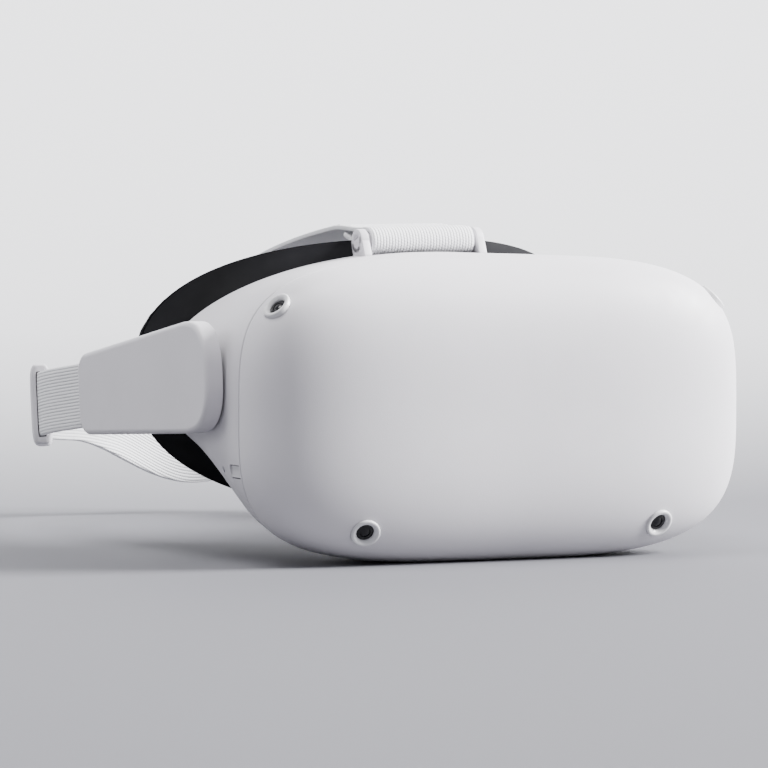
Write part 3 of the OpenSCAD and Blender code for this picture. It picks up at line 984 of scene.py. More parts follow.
def scatter(name: str, pattern: Piece, places: Sequence[Matrix]) -> Piece:
    """Copies a small pattern piece to many places and joins the copies.

    Args:
        name: The joined piece's name.
        pattern: The piece to copy, which is removed.
        places: Where the copies go.

    Returns:
        The joined piece.
    """
    copies = []
    for place in places:
        copy = pattern.copy()
        copy.data = pattern.data.copy()
        copy.data.transform(place)
        bpy.context.scene.collection.objects.link(copy)
        copies.append(copy)
    bpy.data.objects.remove(pattern)
    piece = join(name, copies)
    smooth(piece, 80)
    return piece


def stitch(length: float = 0.0021, radius: float = 0.00024) -> Piece:
    """One stitch of thread that lies along x and bulges towards z."""
    pick()
    bpy.ops.mesh.primitive_uv_sphere_add(segments=8, ring_count=5, radius=1.0, rotation=(0, QUARTER, 0))
    piece = named("stitch")
    piece.scale = (radius, radius, length / 2)
    bpy.ops.object.transform_apply(location=False, rotation=True, scale=False)
    bpy.ops.object.transform_apply(location=False, rotation=False, scale=True)
    return piece


# ---- Visor shells and what they carry ----------------------------------------


@dataclass
class VisorShells:
    """The front cover and the side housing that it snaps onto."""

    form: VisorForm
    finishes: Finishes
    around: int = 160
    rounding: float = 0.0007
    seam_gap: float = 0.0004
    clearance: float = 0.0001
    notch: Triple = (0.046, 0.0085, 0.0035)

    def rim(self, forward: bool) -> list[Pair]:
        """The inset and the distance from the seam of the rounded rim's rings."""
        turn = -1 if forward else 1
        radius = self.rounding
        rings = []
        for step in range(4):
            angle = QUARTER * step / 4
            rings.append((radius * (1 - math.sin(angle)), turn * (self.seam_gap + radius * (1 - math.cos(angle)))))
        return rings

    def build_cover(self, spots: Sequence[Matrix], hole: float, depth: float) -> Piece:
        """Builds the pillow-shaped cover with its camera holes.

        Args:
            spots: Where the cameras stand.
            hole: The holes' radius.
            depth: How deep they go.

        Returns:
            The cover.
        """
        form = self.form
        rings: list[Triple] = [(1.0, inset, shift) for inset, shift in self.rim(forward=True)]
        shares = [math.cos(QUARTER * (i / 32) ** 1.6) ** (2 / form.crown) for i in range(1, 32)] + [0.0]
        rings += [(share, 0.0, 0.0) for share in shares]
        rings += [(share, form.wall, 0.0) for share in reversed(shares[1::2])]
        rings += [(1.0, form.wall, -self.seam_gap), rings[0]]

        def spot(angle: float, level: int) -> Vector:
            share, inset, shift = rings[level]
            point = form.cover(angle, share, inset)
            point.y += shift
            return point

        cover = tube("cover_shell", self.around, len(rings), spot)
        tidy(cover)
        sink = Matrix.Translation((0, 0, -depth))
        carve(cover, [rod("hole", place @ sink, hole, depth + 0.01, 64) for place in spots])
        smooth(cover, 45)
        return dress(cover, self.finishes.housing, "visor", "housing_white", "front_cover")

    def build_housing(self) -> Piece:
        """Builds the side housing with its notch, slots, socket holes and pivot holes."""
        form = self.form
        rings = [(form.seam + shift, inset) for inset, shift in self.rim(forward=False)]
        shoulder = form.seam + form.step_length
        rings += [(mix(form.seam + 0.001, shoulder, i / 8), 0.0) for i in range(9)]
        rings += [(mix(shoulder, form.sweep_start, i / 5), 0.0) for i in range(1, 6)]
        rings += [(mix(form.sweep_start, form.back, i / 16), 0.0) for i in range(1, 16)]
        radius = self.rounding
        for step in range(4):
            angle = QUARTER * (step + 1) / 4
            rings.append((form.back - radius * (1 - math.sin(angle)), radius * (1 - math.cos(angle))))
        rings += [(mix(form.back, form.seam + self.seam_gap, i / 18), form.wall) for i in range(19)]
        rings.append(rings[0])

        def spot(angle: float, level: int) -> Vector:
            return form.housing(angle, *rings[level])

        housing = tube("housing_shell", self.around, len(rings), spot)
        tidy(housing)
        carve(housing, self.cutters())
        smooth(housing, 45)
        return dress(housing, self.finishes.housing, "visor", "housing_white", "side_housing")

    def cutters(self) -> list[Piece]:
        """The solids that open the housing where other pieces sit."""
        width, length, depth = self.notch
        notch = Vector((0, self.form.back, self.form.top))
        cuts = [rounded_box("cut", notch, Vector((width, 2 * length, 2 * depth)), 0.0012)]
        for node, outward in (("headphone_socket", 1), ("status_light", -1)):
            low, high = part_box(node)
            start = Vector((outward * 0.07, (low.y + high.y) / 2, (low.z + high.z) / 2))
            radius = (high.z - low.z) / 2 + self.clearance
            cuts.append(rod("cut", axis_at(start, Vector((outward, 0, 0))), radius, 0.03))
        low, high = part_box("usb_socket")
        grown = high - low + Vector((0.02, 2 * self.clearance, 2 * self.clearance))
        cuts.append(rounded_box("cut", (low + high) / 2, grown, 0.0009))
        for node in ("power_button", "volume_up_button", "volume_down_button"):
            cuts.append(Controls.slot_cutter(node))
        for side in Side:
            low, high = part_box(f"pivot_pin_{side.word}")
            start = Vector((side.value * 0.07, (low.y + high.y) / 2, (low.z + high.z) / 2))
            cuts.append(rod("cut", axis_at(start, Vector((side.value, 0, 0))), 0.0031, 0.03))
        return cuts


@dataclass
class Cameras:
    """Four tracking cameras: a dished bezel round a dark window and its lens."""

    form: VisorForm
    finishes: Finishes
    radius: float = 0.005
    length: float = 0.0064
    proud: float = 0.0005
    window: float = 0.0029
    set_in: float = 0.0012
    gap: float = 0.0001
    window_depth: float = 0.0012
    spots: dict[str, Pair] = field(
        default_factory=lambda: {"upper": (0.0805, 0.0855), "lower": (0.054, 0.011)}
    )

    def place(self, level: str, side: Side) -> Matrix:
        """Where a camera stands, with its z along the way it looks."""
        x, z = self.spots[level]
        x *= side.value
        return axis_at(Vector((x, self.form.cover_y(x, z), z)), self.form.cover_normal(x, z))

    def places(self) -> list[Matrix]:
        """Where the four cameras stand."""
        return [self.place(level, side) for level in self.spots for side in Side]

    def build(self) -> None:
        """Builds the four bezels and their windows."""
        top, foot, seat = self.proud, self.proud - self.length, self.proud - self.set_in
        outer, bore = self.radius, self.window + self.gap
        bezel = [
            (0.0, seat - self.window_depth),
            (bore, seat - self.window_depth),
            (bore, seat + 0.0001),
            (bore + 0.0001, seat + 0.0003),
            (bore + 0.0008, top - 0.00008),
            (bore + 0.0011, top),
            (outer - 0.0005, top),
            (outer - 0.00015, top - 0.00015),
            (outer, top - 0.0005),
            (outer, foot),
            (0.0, foot),
        ]
        wide = self.window
        window = [
            (0.0, seat - self.window_depth + 0.0001),
            (wide, seat - self.window_depth + 0.0001),
            (wide, seat - 0.00015),
            (wide - 0.0002, seat),
            (wide * 0.62, seat + 0.00004),
            (wide * 0.58, seat - 0.0002),
            (wide * 0.5, seat - 0.0001),
            (wide * 0.35, seat + 0.00012),
            (wide * 0.18, seat + 0.00022),
            (0.0, seat + 0.00025),
        ]
        windows = []
        for level in self.spots:
            for side in Side:
                place = self.place(level, side)
                ring = lathe(f"{level}_{side.word}_bezel", bezel, place)
                smooth(ring, 50)
                dress(ring, self.finishes.bezel, "visor", "housing_white", f"camera_{level}_{side.word}")
                windows.append(lathe("window", window, place, 48))
        glass = join("tracking_lenses", windows)
        smooth(glass, 50)
        dress(glass, self.finishes.window, "visor", "window_black", "camera_windows")


@dataclass
class Controls:
    """The power and volume keys, the sockets and the status light."""

    finishes: Finishes
    rim: float = KEY_RIM
    flange: float = 0.001

    @staticmethod
    def slot_cutter(node: str) -> Piece:
        """The opening that a key travels in.

        Args:
            node: The key's CAD node.

        Returns:
            A block that passes through the wall.
        """
        low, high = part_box(node)
        size = high - low - 2 * Vector([KEY_RIM] * 3) + 2 * Vector([KEY_GAP] * 3)
        middle = (low + high) / 2
        if node == "power_button":
            size.x = 0.03
        else:
            size.z = 0.016
            middle.z = 0.0
        return rounded_box("cut", middle, size, 0.0009)

    def key(self, name: str, node: str, body: str, press: Vector) -> None:
        """Builds a key with a dished top and the flange that keeps it in.

        Args:
            name: The new piece's name.
            node: The key's CAD node.
            body: The body that it rides on.
            press: The way it is pressed.
        """
        low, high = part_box(node)
        size, middle = high - low, (low + high) / 2
        across = Vector([1.0 - abs(axis) for axis in press])
        deep = abs(size.dot(press))
        stem = Vector([size[i] - 2 * self.rim * across[i] for i in range(3)])
        cap = rounded_box("cap", middle, stem, 0.0004, 4)
        inner = middle + press * (deep - self.flange) / 2
        plate = Vector([size[i] if across[i] else self.flange for i in range(3)])
        skirt = rounded_box("skirt", inner, plate, 0.0002, 2)
        with editing(cap):
            face = 0.0001 - deep / 2
            choose(cap, lambda corners: all((corner - middle).dot(press) < face for corner in corners))
            bpy.ops.mesh.inset(thickness=0.0007, depth=0)
            bpy.ops.transform.translate(value=press * 0.00018)
        dress(crisp(join(name, [skirt, cap])), self.finishes.key, body, "housing_white", node)

    def build(self) -> None:
        """Builds the keys and fits out the sockets."""
        self.key("power_key_cap", "power_button", "power_key", Vector((1, 0, 0)))
        self.key("volume_up_cap", "volume_up_button", "volume_up_key", Vector((0, 0, 1)))
        self.key("volume_down_cap", "volume_down_button", "volume_down_key", Vector((0, 0, 1)))
        low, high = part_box("usb_socket")
        middle = (low + high) / 2
        tongue = rounded_box("socket_tongue", middle, Vector((high.x - low.x - 0.002, 0.0064, 0.0006)), 0.0002)
        dress(crisp(tongue), self.finishes.black, "visor", "chip_black")
        low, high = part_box("headphone_socket")
        face = axis_at(Vector((high.x, (low.y + high.y) / 2, (low.z + high.z) / 2)), Vector((1, 0, 0)))
        bore, outer = 0.00182, (high.z - low.z) / 2 - 0.0003
        profile = [
            (bore, -0.0006),
            (bore, 0.0001),
            (bore + 0.0002, 0.0003),
            (outer - 0.0002, 0.0003),
            (outer, 0.0001),
            (outer, 0.00002),
            (bore, -0.0006),
        ]
        collar = lathe("socket_collar", profile, face)
        smooth(collar, 50)
        dress(collar, self.finishes.steel, "visor", "steel")
        refinish(self.finishes.black, "headphone_socket", "button_switches")
        refinish(self.finishes.steel, "usb_socket")
        refinish(self.finishes.light, "status_light")


@dataclass
class Optics:
    """The ridged lenses in their sliding barrels, and the plate round them."""

    finishes: Finishes
    radius: float = 0.020
    wall: float = 0.002
    seat: float = 0.006
    bulge: float = 0.004
    ridges: int = 16
    carrier: Pair = (0.014, 0.006)
    rod_radius: float = 0.0015

    def build(self) -> None:
        """Builds both lens units."""
        for side in Side:
            self.build_lens(side)
            self.build_barrel(side)
        refinish(self.finishes.black, "lens_plate")
        refinish(self.finishes.steel, "guide_rods", "plate_screws")
        refinish(self.finishes.window, "wear_sensor")

    def build_lens(self, side: Side) -> None:
        """Builds one lens, with fine ridges cut in its eye side."""
        low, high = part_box(f"lens_{side.word}")
        place = axis_at(Vector(((low.x + high.x) / 2, low.y, (low.z + high.z) / 2)), Vector((0, 1, 0)))
        rim = high.y - low.y - self.bulge
        profile = [(0.0, 0.0), (self.radius - 0.0002, 0.0), (self.radius, 0.0002), (self.radius, rim)]
        start, end = self.radius * 0.95, self.radius * 0.28
        for ridge in range(self.ridges):
            for edge, cut in ((0.06, 0.0), (0.86, 0.0), (0.96, -0.00016)):
                across = mix(start, end, (ridge + edge) / self.ridges)
                profile.append((across, rim + self.bulge * (1 - (across / self.radius) ** 2) + cut))
        for share in (0.24, 0.16, 0.08, 0.0):
            across = self.radius * share
            profile.append((across, rim + self.bulge * (1 - share**2)))
        lens = lathe(f"ridged_lens_{side.word}", profile, place, 96)
        smooth(lens, 30)
        dress(lens, self.finishes.lens, f"{side.word}_lens_unit", "lens_clear", f"lens_{side.word}")

    def build_barrel(self, side: Side) -> None:
        """Builds one barrel with the carriers that run on the guide rods."""
        low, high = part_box(f"lens_barrel_{side.word}")
        rods_low, rods_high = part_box("guide_rods")
        middle, rods = (low.x + high.x) / 2, (rods_low.y + rods_high.y) / 2
        centre = (rods_low.z + rods_high.z) / 2
        outer, bore, seat = self.radius + self.wall, self.radius - 0.001, self.radius + 0.0001
        length = high.y - low.y
        profile = [
            (bore, 0.0),
            (outer - 0.0005, 0.0),
            (outer, 0.0005),
            (outer, length - 0.0012),
            (outer - 0.0003, length - 0.0004),
            (outer - 0.001, length),
            (seat + 0.0004, length - 0.0001),
            (seat, length - 0.0006),
            (seat, length - self.seat),
            (bore, length - self.seat),
            (bore, 0.0),
        ]
        cup = lathe("cup", profile, axis_at(Vector((middle, low.y, centre)), Vector((0, 1, 0))), 96)
        parts = [cup]
        rise = (rods_high.z - rods_low.z) / 2 - self.rod_radius
        width, depth = self.carrier
        slide, skin, shoulder = (self.rod_radius + more for more in (0.00005, 0.002, 0.0018))
        sleeve = [
            (slide, 0.0),
            (shoulder, 0.0),
            (skin, 0.0002),
            (skin, width - 0.0002),
            (shoulder, width),
            (slide, width),
            (slide, 0.0),
        ]
        for way in (-1, 1):
            foot = centre + way * (outer - 0.001)
            head = centre + way * (rise - self.rod_radius - 0.001)
            block = Vector((middle, rods, (foot + head) / 2))
            parts.append(rounded_box("carrier", block, Vector((width, depth, abs(head - foot))), 0.0006))
            start = Vector((middle - width / 2, rods, centre + way * rise))
            parts.append(lathe("sleeve", sleeve, axis_at(start, Vector((1, 0, 0))), 40))
        unit = join(f"barrel_unit_{side.word}", parts)
        smooth(unit, 45)
        dress(unit, self.finishes.black, f"{side.word}_lens_unit", "barrel_black", f"lens_barrel_{side.word}")


# ---- Face pad ----------------------------------------------------------------


def bump(x: float, half: float) -> float:
    """A rounded rise that is 1 in the middle and 0 at half a width away."""
    return (1 + math.cos(math.pi * x / half)) / 2 if abs(x) < half else 0.0


@dataclass
class FacePad:
    """The pull-off pad: a moulded ring, the foam on it and the welt of its knitted cover."""

    form: VisorForm
    finishes: Finishes
    front: float
    depth: float = 0.006
    wall: float = 0.003
    half_w: float = 0.084
    half_h: float = 0.0458
    top: float = 0.104
    drop: float = 0.003
    square: float = 2.6
    nose_lift: float = 0.020
    nose_half_w: float = 0.034
    face_curve: float = 0.036
    foam_t: float = 0.010
    foam_wall: float = 0.013
    around: int = 160
    voxel: float = 0.0026
    swell: float = 0.0016
    pressure: float = 4.0
    settle: int = 20
    edge: float = 0.0005
    foot_reach: float = 0.0012

    def ring(self, angle: float, inset: float, spread: float, depth: float) -> Vector:
        """A point on the pad.

        Args:
            angle: Which way it lies from the middle.
            inset: How far inside the pad's outline it lies.
            spread: 0 at the housing's outline and 1 at the face's.
            depth: How far behind the housing it lies.

        Returns:
            The point.
        """
        form = self.form
        wide = mix(form.width(form.back), self.half_w, spread) - inset
        high = mix(form.height(form.back) - self.drop, self.half_h, spread) - inset
        middle = mix(form.top - self.drop, self.top, spread) - high - inset
        x, z = oval(angle, wide, high, mix(form.back_square, self.square, spread))
        curve = mix(form.tail, self.face_curve, spread) * (abs(x) / wide) ** form.tail_curve
        lift = self.nose_lift * bump(x, self.nose_half_w) * clamp(-z / (0.3 * high))
        return Vector((x, self.front + depth + curve, middle + z + lift))

    def loft(self, name: str, rings: Sequence[Triple]) -> Piece:
        """Skins a closed ring through its sections' points.

        Args:
            name: The piece's name.
            rings: The inset, spread and depth of each point of the section.

        Returns:
            The piece.
        """
        closed = [*rings, rings[0]]
        piece = tube(name, self.around, len(closed), lambda angle, level: self.ring(angle, *closed[level]))
        tidy(piece)
        return piece

    def build(self) -> None:
        """Builds the moulded ring, the foam and its welt."""
        steps, edge = 6, self.edge
        outside = [(0.0, i / steps, self.depth * i / steps) for i in range(steps + 1)]
        outside[0] = (edge, 0.0, 0.0)
        outside.insert(1, (0.0, edge / self.depth, edge))
        outside[-1] = (0.0, 1.0, self.depth - edge)
        outside.append((edge, 1.0, self.depth))
        inside = [(self.wall, 1 - i / steps, self.depth * (1 - i / steps)) for i in range(steps + 1)]
        frame_ring = self.loft("pad_ring", outside + inside)
        smooth(frame_ring, 45)
        dress(frame_ring, self.finishes.pad_frame, "face_pad", "pad_frame_grey", "face_frame")
        self.build_foam()
        self.build_welt()

    def build_foam(self) -> None:
        """Builds the foam and lets a cloth simulation round it out."""
        slack = 0.0008
        thick, wall, foot = self.foam_t - slack, self.foam_wall - slack, self.depth + 0.0001
        section = [
            (slack, 1.0, foot),
            (slack, 1.0, self.depth + thick * 0.55),
            (slack + 0.0012, 1.0, self.depth + thick * 0.88),
            (slack + 0.0045, 1.0, self.depth + thick),
            (wall - 0.0035, 1.0, self.depth + thick),
            (wall - 0.0008, 1.0, self.depth + thick * 0.85),
            (wall, 1.0, self.depth + thick * 0.5),
            (wall, 1.0, foot),
            (wall * 0.5, 1.0, foot),
        ]
        foam = self.loft("foam_cushion", section)
        self.inflate(foam, foot)
        subdivide(foam)
        smooth(foam, 180)
        dress(foam, self.finishes.foam, "face_pad", "foam_charcoal", "face_foam")

    def inflate(self, foam: Piece, foot: float) -> None:
        """Swells the foam under a light pressure, with its foot held to the ring.

        Args:
            foam: The foam, closed and a little slack.
            foot: How far behind the housing its foot lies.
        """
        modify(foam, "REMESH", mode="VOXEL", voxel_size=self.voxel)
        start = [vertex.co.copy() for vertex in foam.data.vertices]
        held = foam.vertex_groups.new(name="foot")
        for vertex in foam.data.vertices:
            curve = self.face_curve * (abs(vertex.co.x) / (self.half_w - 0.006)) ** self.form.tail_curve
            if vertex.co.y - self.front - curve < foot + self.foot_reach:
                held.add([vertex.index], 1.0, "REPLACE")
        pick(foam)
        bpy.ops.object.modifier_add(type="CLOTH")
        cloth = foam.modifiers[-1]
        cloth.settings.use_pressure = True
        cloth.settings.uniform_pressure_force = self.pressure
        cloth.settings.vertex_group_mass = held.name
        cloth.settings.effector_weights.gravity = 0.0
        for step in range(1, self.settle + 1):
            bpy.context.scene.frame_set(step)
        bpy.ops.object.modifier_apply(modifier=cloth.name)
        bpy.context.scene.frame_set(1)
        for vertex, before in zip(foam.data.vertices, start):
            move = vertex.co - before
            if move.length > self.swell:
                vertex.co = before + move * (self.swell / move.length)
        foam.vertex_groups.clear()

    def build_welt(self) -> None:
        """Builds the welt that closes the knitted cover against the moulded ring."""
        radius, steps, around = 0.0006, 10, 200

        def spot(angle: float, level: int) -> Vector:
            turn = TURN * level / steps
            out = 0.0005 - radius * math.cos(turn)
            return self.ring(angle, out, 1.0, self.depth + 0.0008 + radius * math.sin(turn))

        welt = tube("cover_welt", around, steps + 1, spot)
        tidy(welt)
        smooth(welt, 180)
        dress(welt, self.finishes.foam, "face_pad", "foam_charcoal")


# ---- Head strap --------------------------------------------------------------


class ArmFrame:
    """The place and tilt of the side arms, taken from the joints."""

    def __init__(self) -> None:
        """Reads the pivot, the tilt and the loop's middle."""
        joints = {joint["name"]: joint for joint in frame["joints"]}
        self.pivot = Vector(joints["head_strap_tilt"]["pos_m"])
        up = Vector(joints["left_slider_shift"]["axis"])
        self.tilt = math.atan2(up.y, up.z)
        loop = Vector(joints["left_slider_shift"]["pos_m"])
        self.matrix = Matrix.Translation(self.pivot) @ Matrix.Rotation(-self.tilt, 4, "X")
        self.loop = (self.matrix.inverted() @ loop).y

    def point(self, x: float, y: float, z: float) -> Vector:
        """A place in the arms' frame, in the headset's frame."""
        return self.matrix @ Vector((x, y, z))

    def turn(self, direction: Vector) -> Vector:
        """A direction in the arms' frame, in the headset's frame."""
        return self.matrix.to_3x3() @ direction


@dataclass
class SideArms:
    """The moulded side arms, their lids and the pins that they tilt on."""

    arms: ArmFrame
    finishes: Finishes
    inner: float
    thickness: float
    front_r: float = 0.0185
    end: float = 0.0885
    end_h: float = 0.014
    corner: float = 0.007
    wall: float = 0.0016
    lid: float = 0.0012
    edge: float = 0.0019
    rim: float = 0.0006
    square: float = 2.7
    boss: Pair = (0.0075, 0.00305)
    posts: tuple[float, ...] = (0.026, 0.0785)

    def outline(self, inset: float = 0.0) -> list[Pair]:
        """The arm's side view, front end first.

        Args:
            inset: How far inside the arm's edge it lies.

        Returns:
            Points along and up.
        """
        reach, high, corner = self.front_r - inset, self.end_h - inset, self.corner - inset / 2
        points = []
        for step in range(37):
            angle = math.pi * (0.5 + step / 36)
            along = reach * signed_power(math.cos(angle), 2 / self.square)
            points.append((along, reach * signed_power(math.sin(angle), 2 / self.square)))
        for low, turn in ((-1, -QUARTER), (1, 0.0)):
            for step in range(10):
                angle = turn + QUARTER * step / 9
                middle = (self.end - inset - corner, low * (high - corner))
                points.append((middle[0] + corner * math.cos(angle), middle[1] + corner * math.sin(angle)))
        return points

    def side_place(self, side: Side, x: float) -> Matrix:
        """A frame on an arm whose x runs back along the arm, y up it and z outwards."""
        out = side.value
        place = Matrix(((0, 0, out, out * x), (1, 0, 0, 0), (0, 1, 0, 0), (0, 0, 0, 1)))
        return self.arms.matrix @ place

    def build(self) -> None:
        """Builds both arms."""
        for side in Side:
            self.build_shell(side)
            refinish(self.finishes.chassis, f"arm_lid_{side.word}", f"speaker_{side.word}")
            refinish(self.finishes.steel, f"pivot_pin_{side.word}")
        refinish(self.finishes.steel, "arm_screws")

    def build_shell(self, side: Side) -> None:
        """Builds one hollow arm with its boss and screw posts."""
        place = self.side_place(side, self.inner)
        shell = slab("shell", self.outline(), Matrix.Identity(4), self.thickness)
        with editing(shell):
            choose(shell, lambda corners: all(corner.z > self.thickness - MERGE for corner in corners), "edges")
            bpy.ops.mesh.bevel(offset=self.edge, segments=6, profile=0.55)
            choose(shell, lambda corners: all(corner.z < MERGE for corner in corners), "edges")
            bpy.ops.mesh.bevel(offset=self.rim, segments=3, profile=0.5)
            choose(shell, lambda corners: all(corner.z < MERGE for corner in corners))
            bpy.ops.mesh.inset(thickness=0.0003, depth=0)
            bpy.ops.mesh.inset(thickness=self.wall - self.rim - 0.0003, depth=0)
            bpy.ops.mesh.extrude_region_move(TRANSFORM_OT_translate={"value": (0, 0, self.thickness - 0.002)})
        bore, height = self.boss[0], self.thickness - 0.001
        parts = [self.sleeve("boss", (0.0, 0.0), self.boss[1], bore, 0.0, height)]
        parts += [self.sleeve("post", (along, 0.0), 0.0011, 0.003, self.lid, height) for along in self.posts]
        arm = join(f"moulded_arm_{side.word}", [*parts, shell])
        arm.data.transform(place)
        with editing(arm):
            face_outwards()
        crisp(arm, 35)
        dress(arm, self.finishes.arm, "head_strap", "housing_white", f"arm_shell_{side.word}")

    @staticmethod
    def sleeve(name: str, spot: Pair, bore: float, outer: float, foot: float, top: float) -> Piece:
        """A short tube that stands on the arm's inside.

        Args:
            name: The piece's name.
            spot: Its place along and up the arm.
            bore: Its inner radius.
            outer: Its outer radius.
            foot: Where it starts.
            top: Where it ends.

        Returns:
            The tube.
        """
        place = Matrix.Translation((*spot, 0))
        return lathe(name, [(bore, foot), (outer, foot), (outer, top), (bore, top), (bore, foot)], place, 40)


@dataclass
class StrapSet:
    """The woven side straps, the forked back strap, the sliders, the top strap and their stitching."""

    arms: ArmFrame
    finishes: Finishes
    radius: float
    thickness: float
    width: float
    arm_end: float = 0.0885
    join_angle: float = math.radians(52)
    back_half_h: float = 0.0265
    back_band: float = 0.012
    slider_at: float = math.radians(24)
    slider_arc: float = math.radians(12)
    slider_wall: float = 0.0018
    slider_gap: float = 0.0004
    slider_lip: float = 0.003
    top_width: float = 0.038
    top_thickness: float = 0.002
    top_bow: float = 0.009
    fold_radius: float = 0.0031
    dip: float = 0.007
    dip_share: float = 0.14

    @property
    def middle(self) -> float:
        """The radius of the strap's middle layer."""
        return self.radius + self.thickness / 2

    @property
    def half_span(self) -> float:
        """Half the back strap's span across the head."""
        return (self.radius + self.thickness) * math.cos(self.join_angle)

    def station(self, side: int, angle: float, height: float, width: float, thickness: float) -> Station:
        """A cross-section on the round of the strap.

        Args:
            side: The sign of its x.
            angle: How far round it lies from the side, in radians.
            height: How high its middle lies.
            width: The strap's width there.
            thickness: The strap's thickness there.

        Returns:
            The cross-section.
        """
        out = Vector((side * math.cos(angle), math.sin(angle), 0))
        middle = self.arms.point(out.x * self.middle, self.arms.loop + out.y * self.middle, height)
        across = self.arms.turn(Vector((0, 0, side)))
        return Station(middle, across, self.arms.turn(out), width, thickness)

    def build(self) -> None:
        """Builds every strap, both sliders and the stitches."""
        for side in Side:
            self.build_side(side)
            self.build_slider(side)
        self.build_back()
        self.build_top()

    def build_side(self, side: Side) -> None:
        """Builds one side strap, from inside the arm's end to the fork."""
        across = self.arms.turn(Vector((0, 0, side.value)))
        out = self.arms.turn(Vector((side.value, 0, 0)))
        route = []
        for step in range(9):
            along = mix(self.arm_end - 0.0015, self.arms.loop, step / 9)
            middle = self.arms.point(side.value * self.middle, along, 0)
            route.append(Station(middle, across, out, self.width, self.thickness))
        for step in range(41):
            angle = self.join_angle * step / 40
            route.append(self.station(side.value, angle, 0, self.width, self.thickness))
        piece = strap(f"woven_side_{side.word}", route)
        rows = [self.arm_row(side, self.arm_end + behind) for behind in (0.003, 0.0045)]
        thread = scatter(f"arm_stitching_{side.word}", stitch(), [place for row in rows for place in row])
        dress(piece, self.finishes.webbing, "head_strap", "strap_fabric", f"side_strap_{side.word}")
        dress(thread, self.finishes.thread, "head_strap", "strap_fabric")

    def arm_row(self, side: Side, along: float) -> list[Matrix]:
        """Where the stitches lie in a row across the strap, behind the arm's end."""
        places = []
        for step in range(7):
            height = mix(-0.42, 0.42, step / 6) * self.width
            middle = Vector((side.value * (self.radius + self.thickness), along, height))
            turn = Matrix(((0, 0, side.value), (0, 1, 0), (1, 0, 0))).to_4x4()
            places.append(self.arms.matrix @ Matrix.Translation(middle) @ turn)
        return places

    def wave(self, x: float, half: float) -> float:
        """A rounded rise across the back strap."""
        return (1 + math.cos(math.pi * clamp(abs(x) / half))) / 2

    def build_back(self) -> None:
        """Builds the back strap's two bands, which meet at the fork on each side."""
        bands, places = [], []
        start = self.join_angle - math.radians(1.2)
        for way in (-1, 1):
            route = []
            for step in range(81):
                angle = mix(start, math.pi - start, step / 80)
                x = self.middle * math.cos(angle)
                opening = (self.back_half_h - self.back_band) * self.wave(x, 0.66 * self.half_span)
                edge = self.width / 2 + (self.back_half_h - self.width / 2) * self.wave(x, self.half_span)
                overlap = 0.00015 if opening < 0.0001 else 0.0
                height, width = way * (edge + opening) / 2, edge - opening - overlap
                station = self.station(1, angle, height, width, self.thickness)
                route.append(station)
                if step % 2 == 0 and 2 < step < 78:
                    places += self.edge_stitches(station, edge - opening)
            bands.append(strap("band", route))
        back = join("woven_back", bands)
        dress(back, self.finishes.webbing, "head_strap", "strap_fabric", "back_strap")
        for sign in (-1, 1):
            for degrees in (53.0, 54.2):
                station = self.station(sign, math.radians(degrees), 0, self.width, self.thickness)
                for step in (0, 1, 2, 3, 5, 6, 7, 8):
                    across = mix(-0.42, 0.42, step / 8) * self.width
                    places.append(self.stitch_place(station, across, along=False))
        dress(scatter("back_stitching", stitch(), places), self.finishes.thread, "head_strap", "strap_fabric")

    def edge_stitches(self, station: Station, width: float) -> list[Matrix]:
        """The two stitches near the edges of a band at one of its sections."""
        reach = width / 2 - 0.0014
        return [self.stitch_place(station, way * reach, along=True) for way in (-1, 1)]

    @staticmethod
    def stitch_place(station: Station, offset: float, along: bool, sunk: float = 0.0001) -> Matrix:
        """Where a stitch lies on a strap's outer face.

        Args:
            station: The strap's section.
            offset: How far across the strap the stitch lies.
            along: Whether it runs along the strap and not across it.
            sunk: How deep its middle sits in the weave.

        Returns:
            The stitch's frame.
        """
        run = station.across.cross(station.out) if along else station.across
        place = station.middle + station.across * offset + station.out * (station.thickness / 2 - sunk)
        side = station.out.cross(run)
        rows = zip(run, side, station.out, place)
        return Matrix([*(list(row) for row in rows), [0, 0, 0, 1]])

    def build_slider(self, side: Side) -> None:
        """Builds one slider: a rounded sleeve with grip ribs that runs along the strap."""
        start, end = self.slider_at - self.slider_arc / 2, self.slider_at + self.slider_arc / 2
        half_t, half_h = self.thickness / 2 + self.slider_gap, self.width / 2 + self.slider_gap
        outer_t, outer_h = half_t + self.slider_wall, self.width / 2 + self.slider_lip
        edge, steps = 0.0009, 24

        def rounded(at: float, way: int, turn: float) -> tuple[float, float, float, float]:
            back_off = edge * (1 - math.sin(turn))
            return at + way * edge * (1 - math.cos(turn)) / self.middle, outer_t - back_off, outer_h - back_off, 5.0

        levels = [rounded(start, 1, QUARTER * step / 4) for step in range(5)]
        for step in range(1, steps):
            share = step / steps
            rib = 0.0004 * max(0.0, math.sin(TURN * share * 6)) if 0.16 < share < 0.84 else 0.0
            levels.append((mix(start, end, 0.05 + 0.9 * share), outer_t - rib, outer_h, 5.0))
        levels += [rounded(end, -1, QUARTER * (1 - step / 4)) for step in range(5)]
        levels += [(mix(end, start, step / 10), half_t, half_h, 9.0) for step in range(11)]
        levels.append(levels[0])

        def spot(turn: float, level: int) -> Vector:
            angle, thick, high, square = levels[level]
            away = thick * signed_power(math.cos(turn), 2 / square)
            up = high * signed_power(math.sin(turn), 2 / square)
            out = Vector((side.value * math.cos(angle), math.sin(angle), 0)) * (self.middle + away)
            return self.arms.point(out.x, self.arms.loop + out.y, up)

        sleeve = tube(f"sleeve_{side.word}", 72, len(levels), spot)
        tidy(sleeve)
        smooth(sleeve, 40)
        dress(sleeve, self.finishes.arm, f"{side.word}_slider", "housing_white", f"strap_slider_{side.word}")

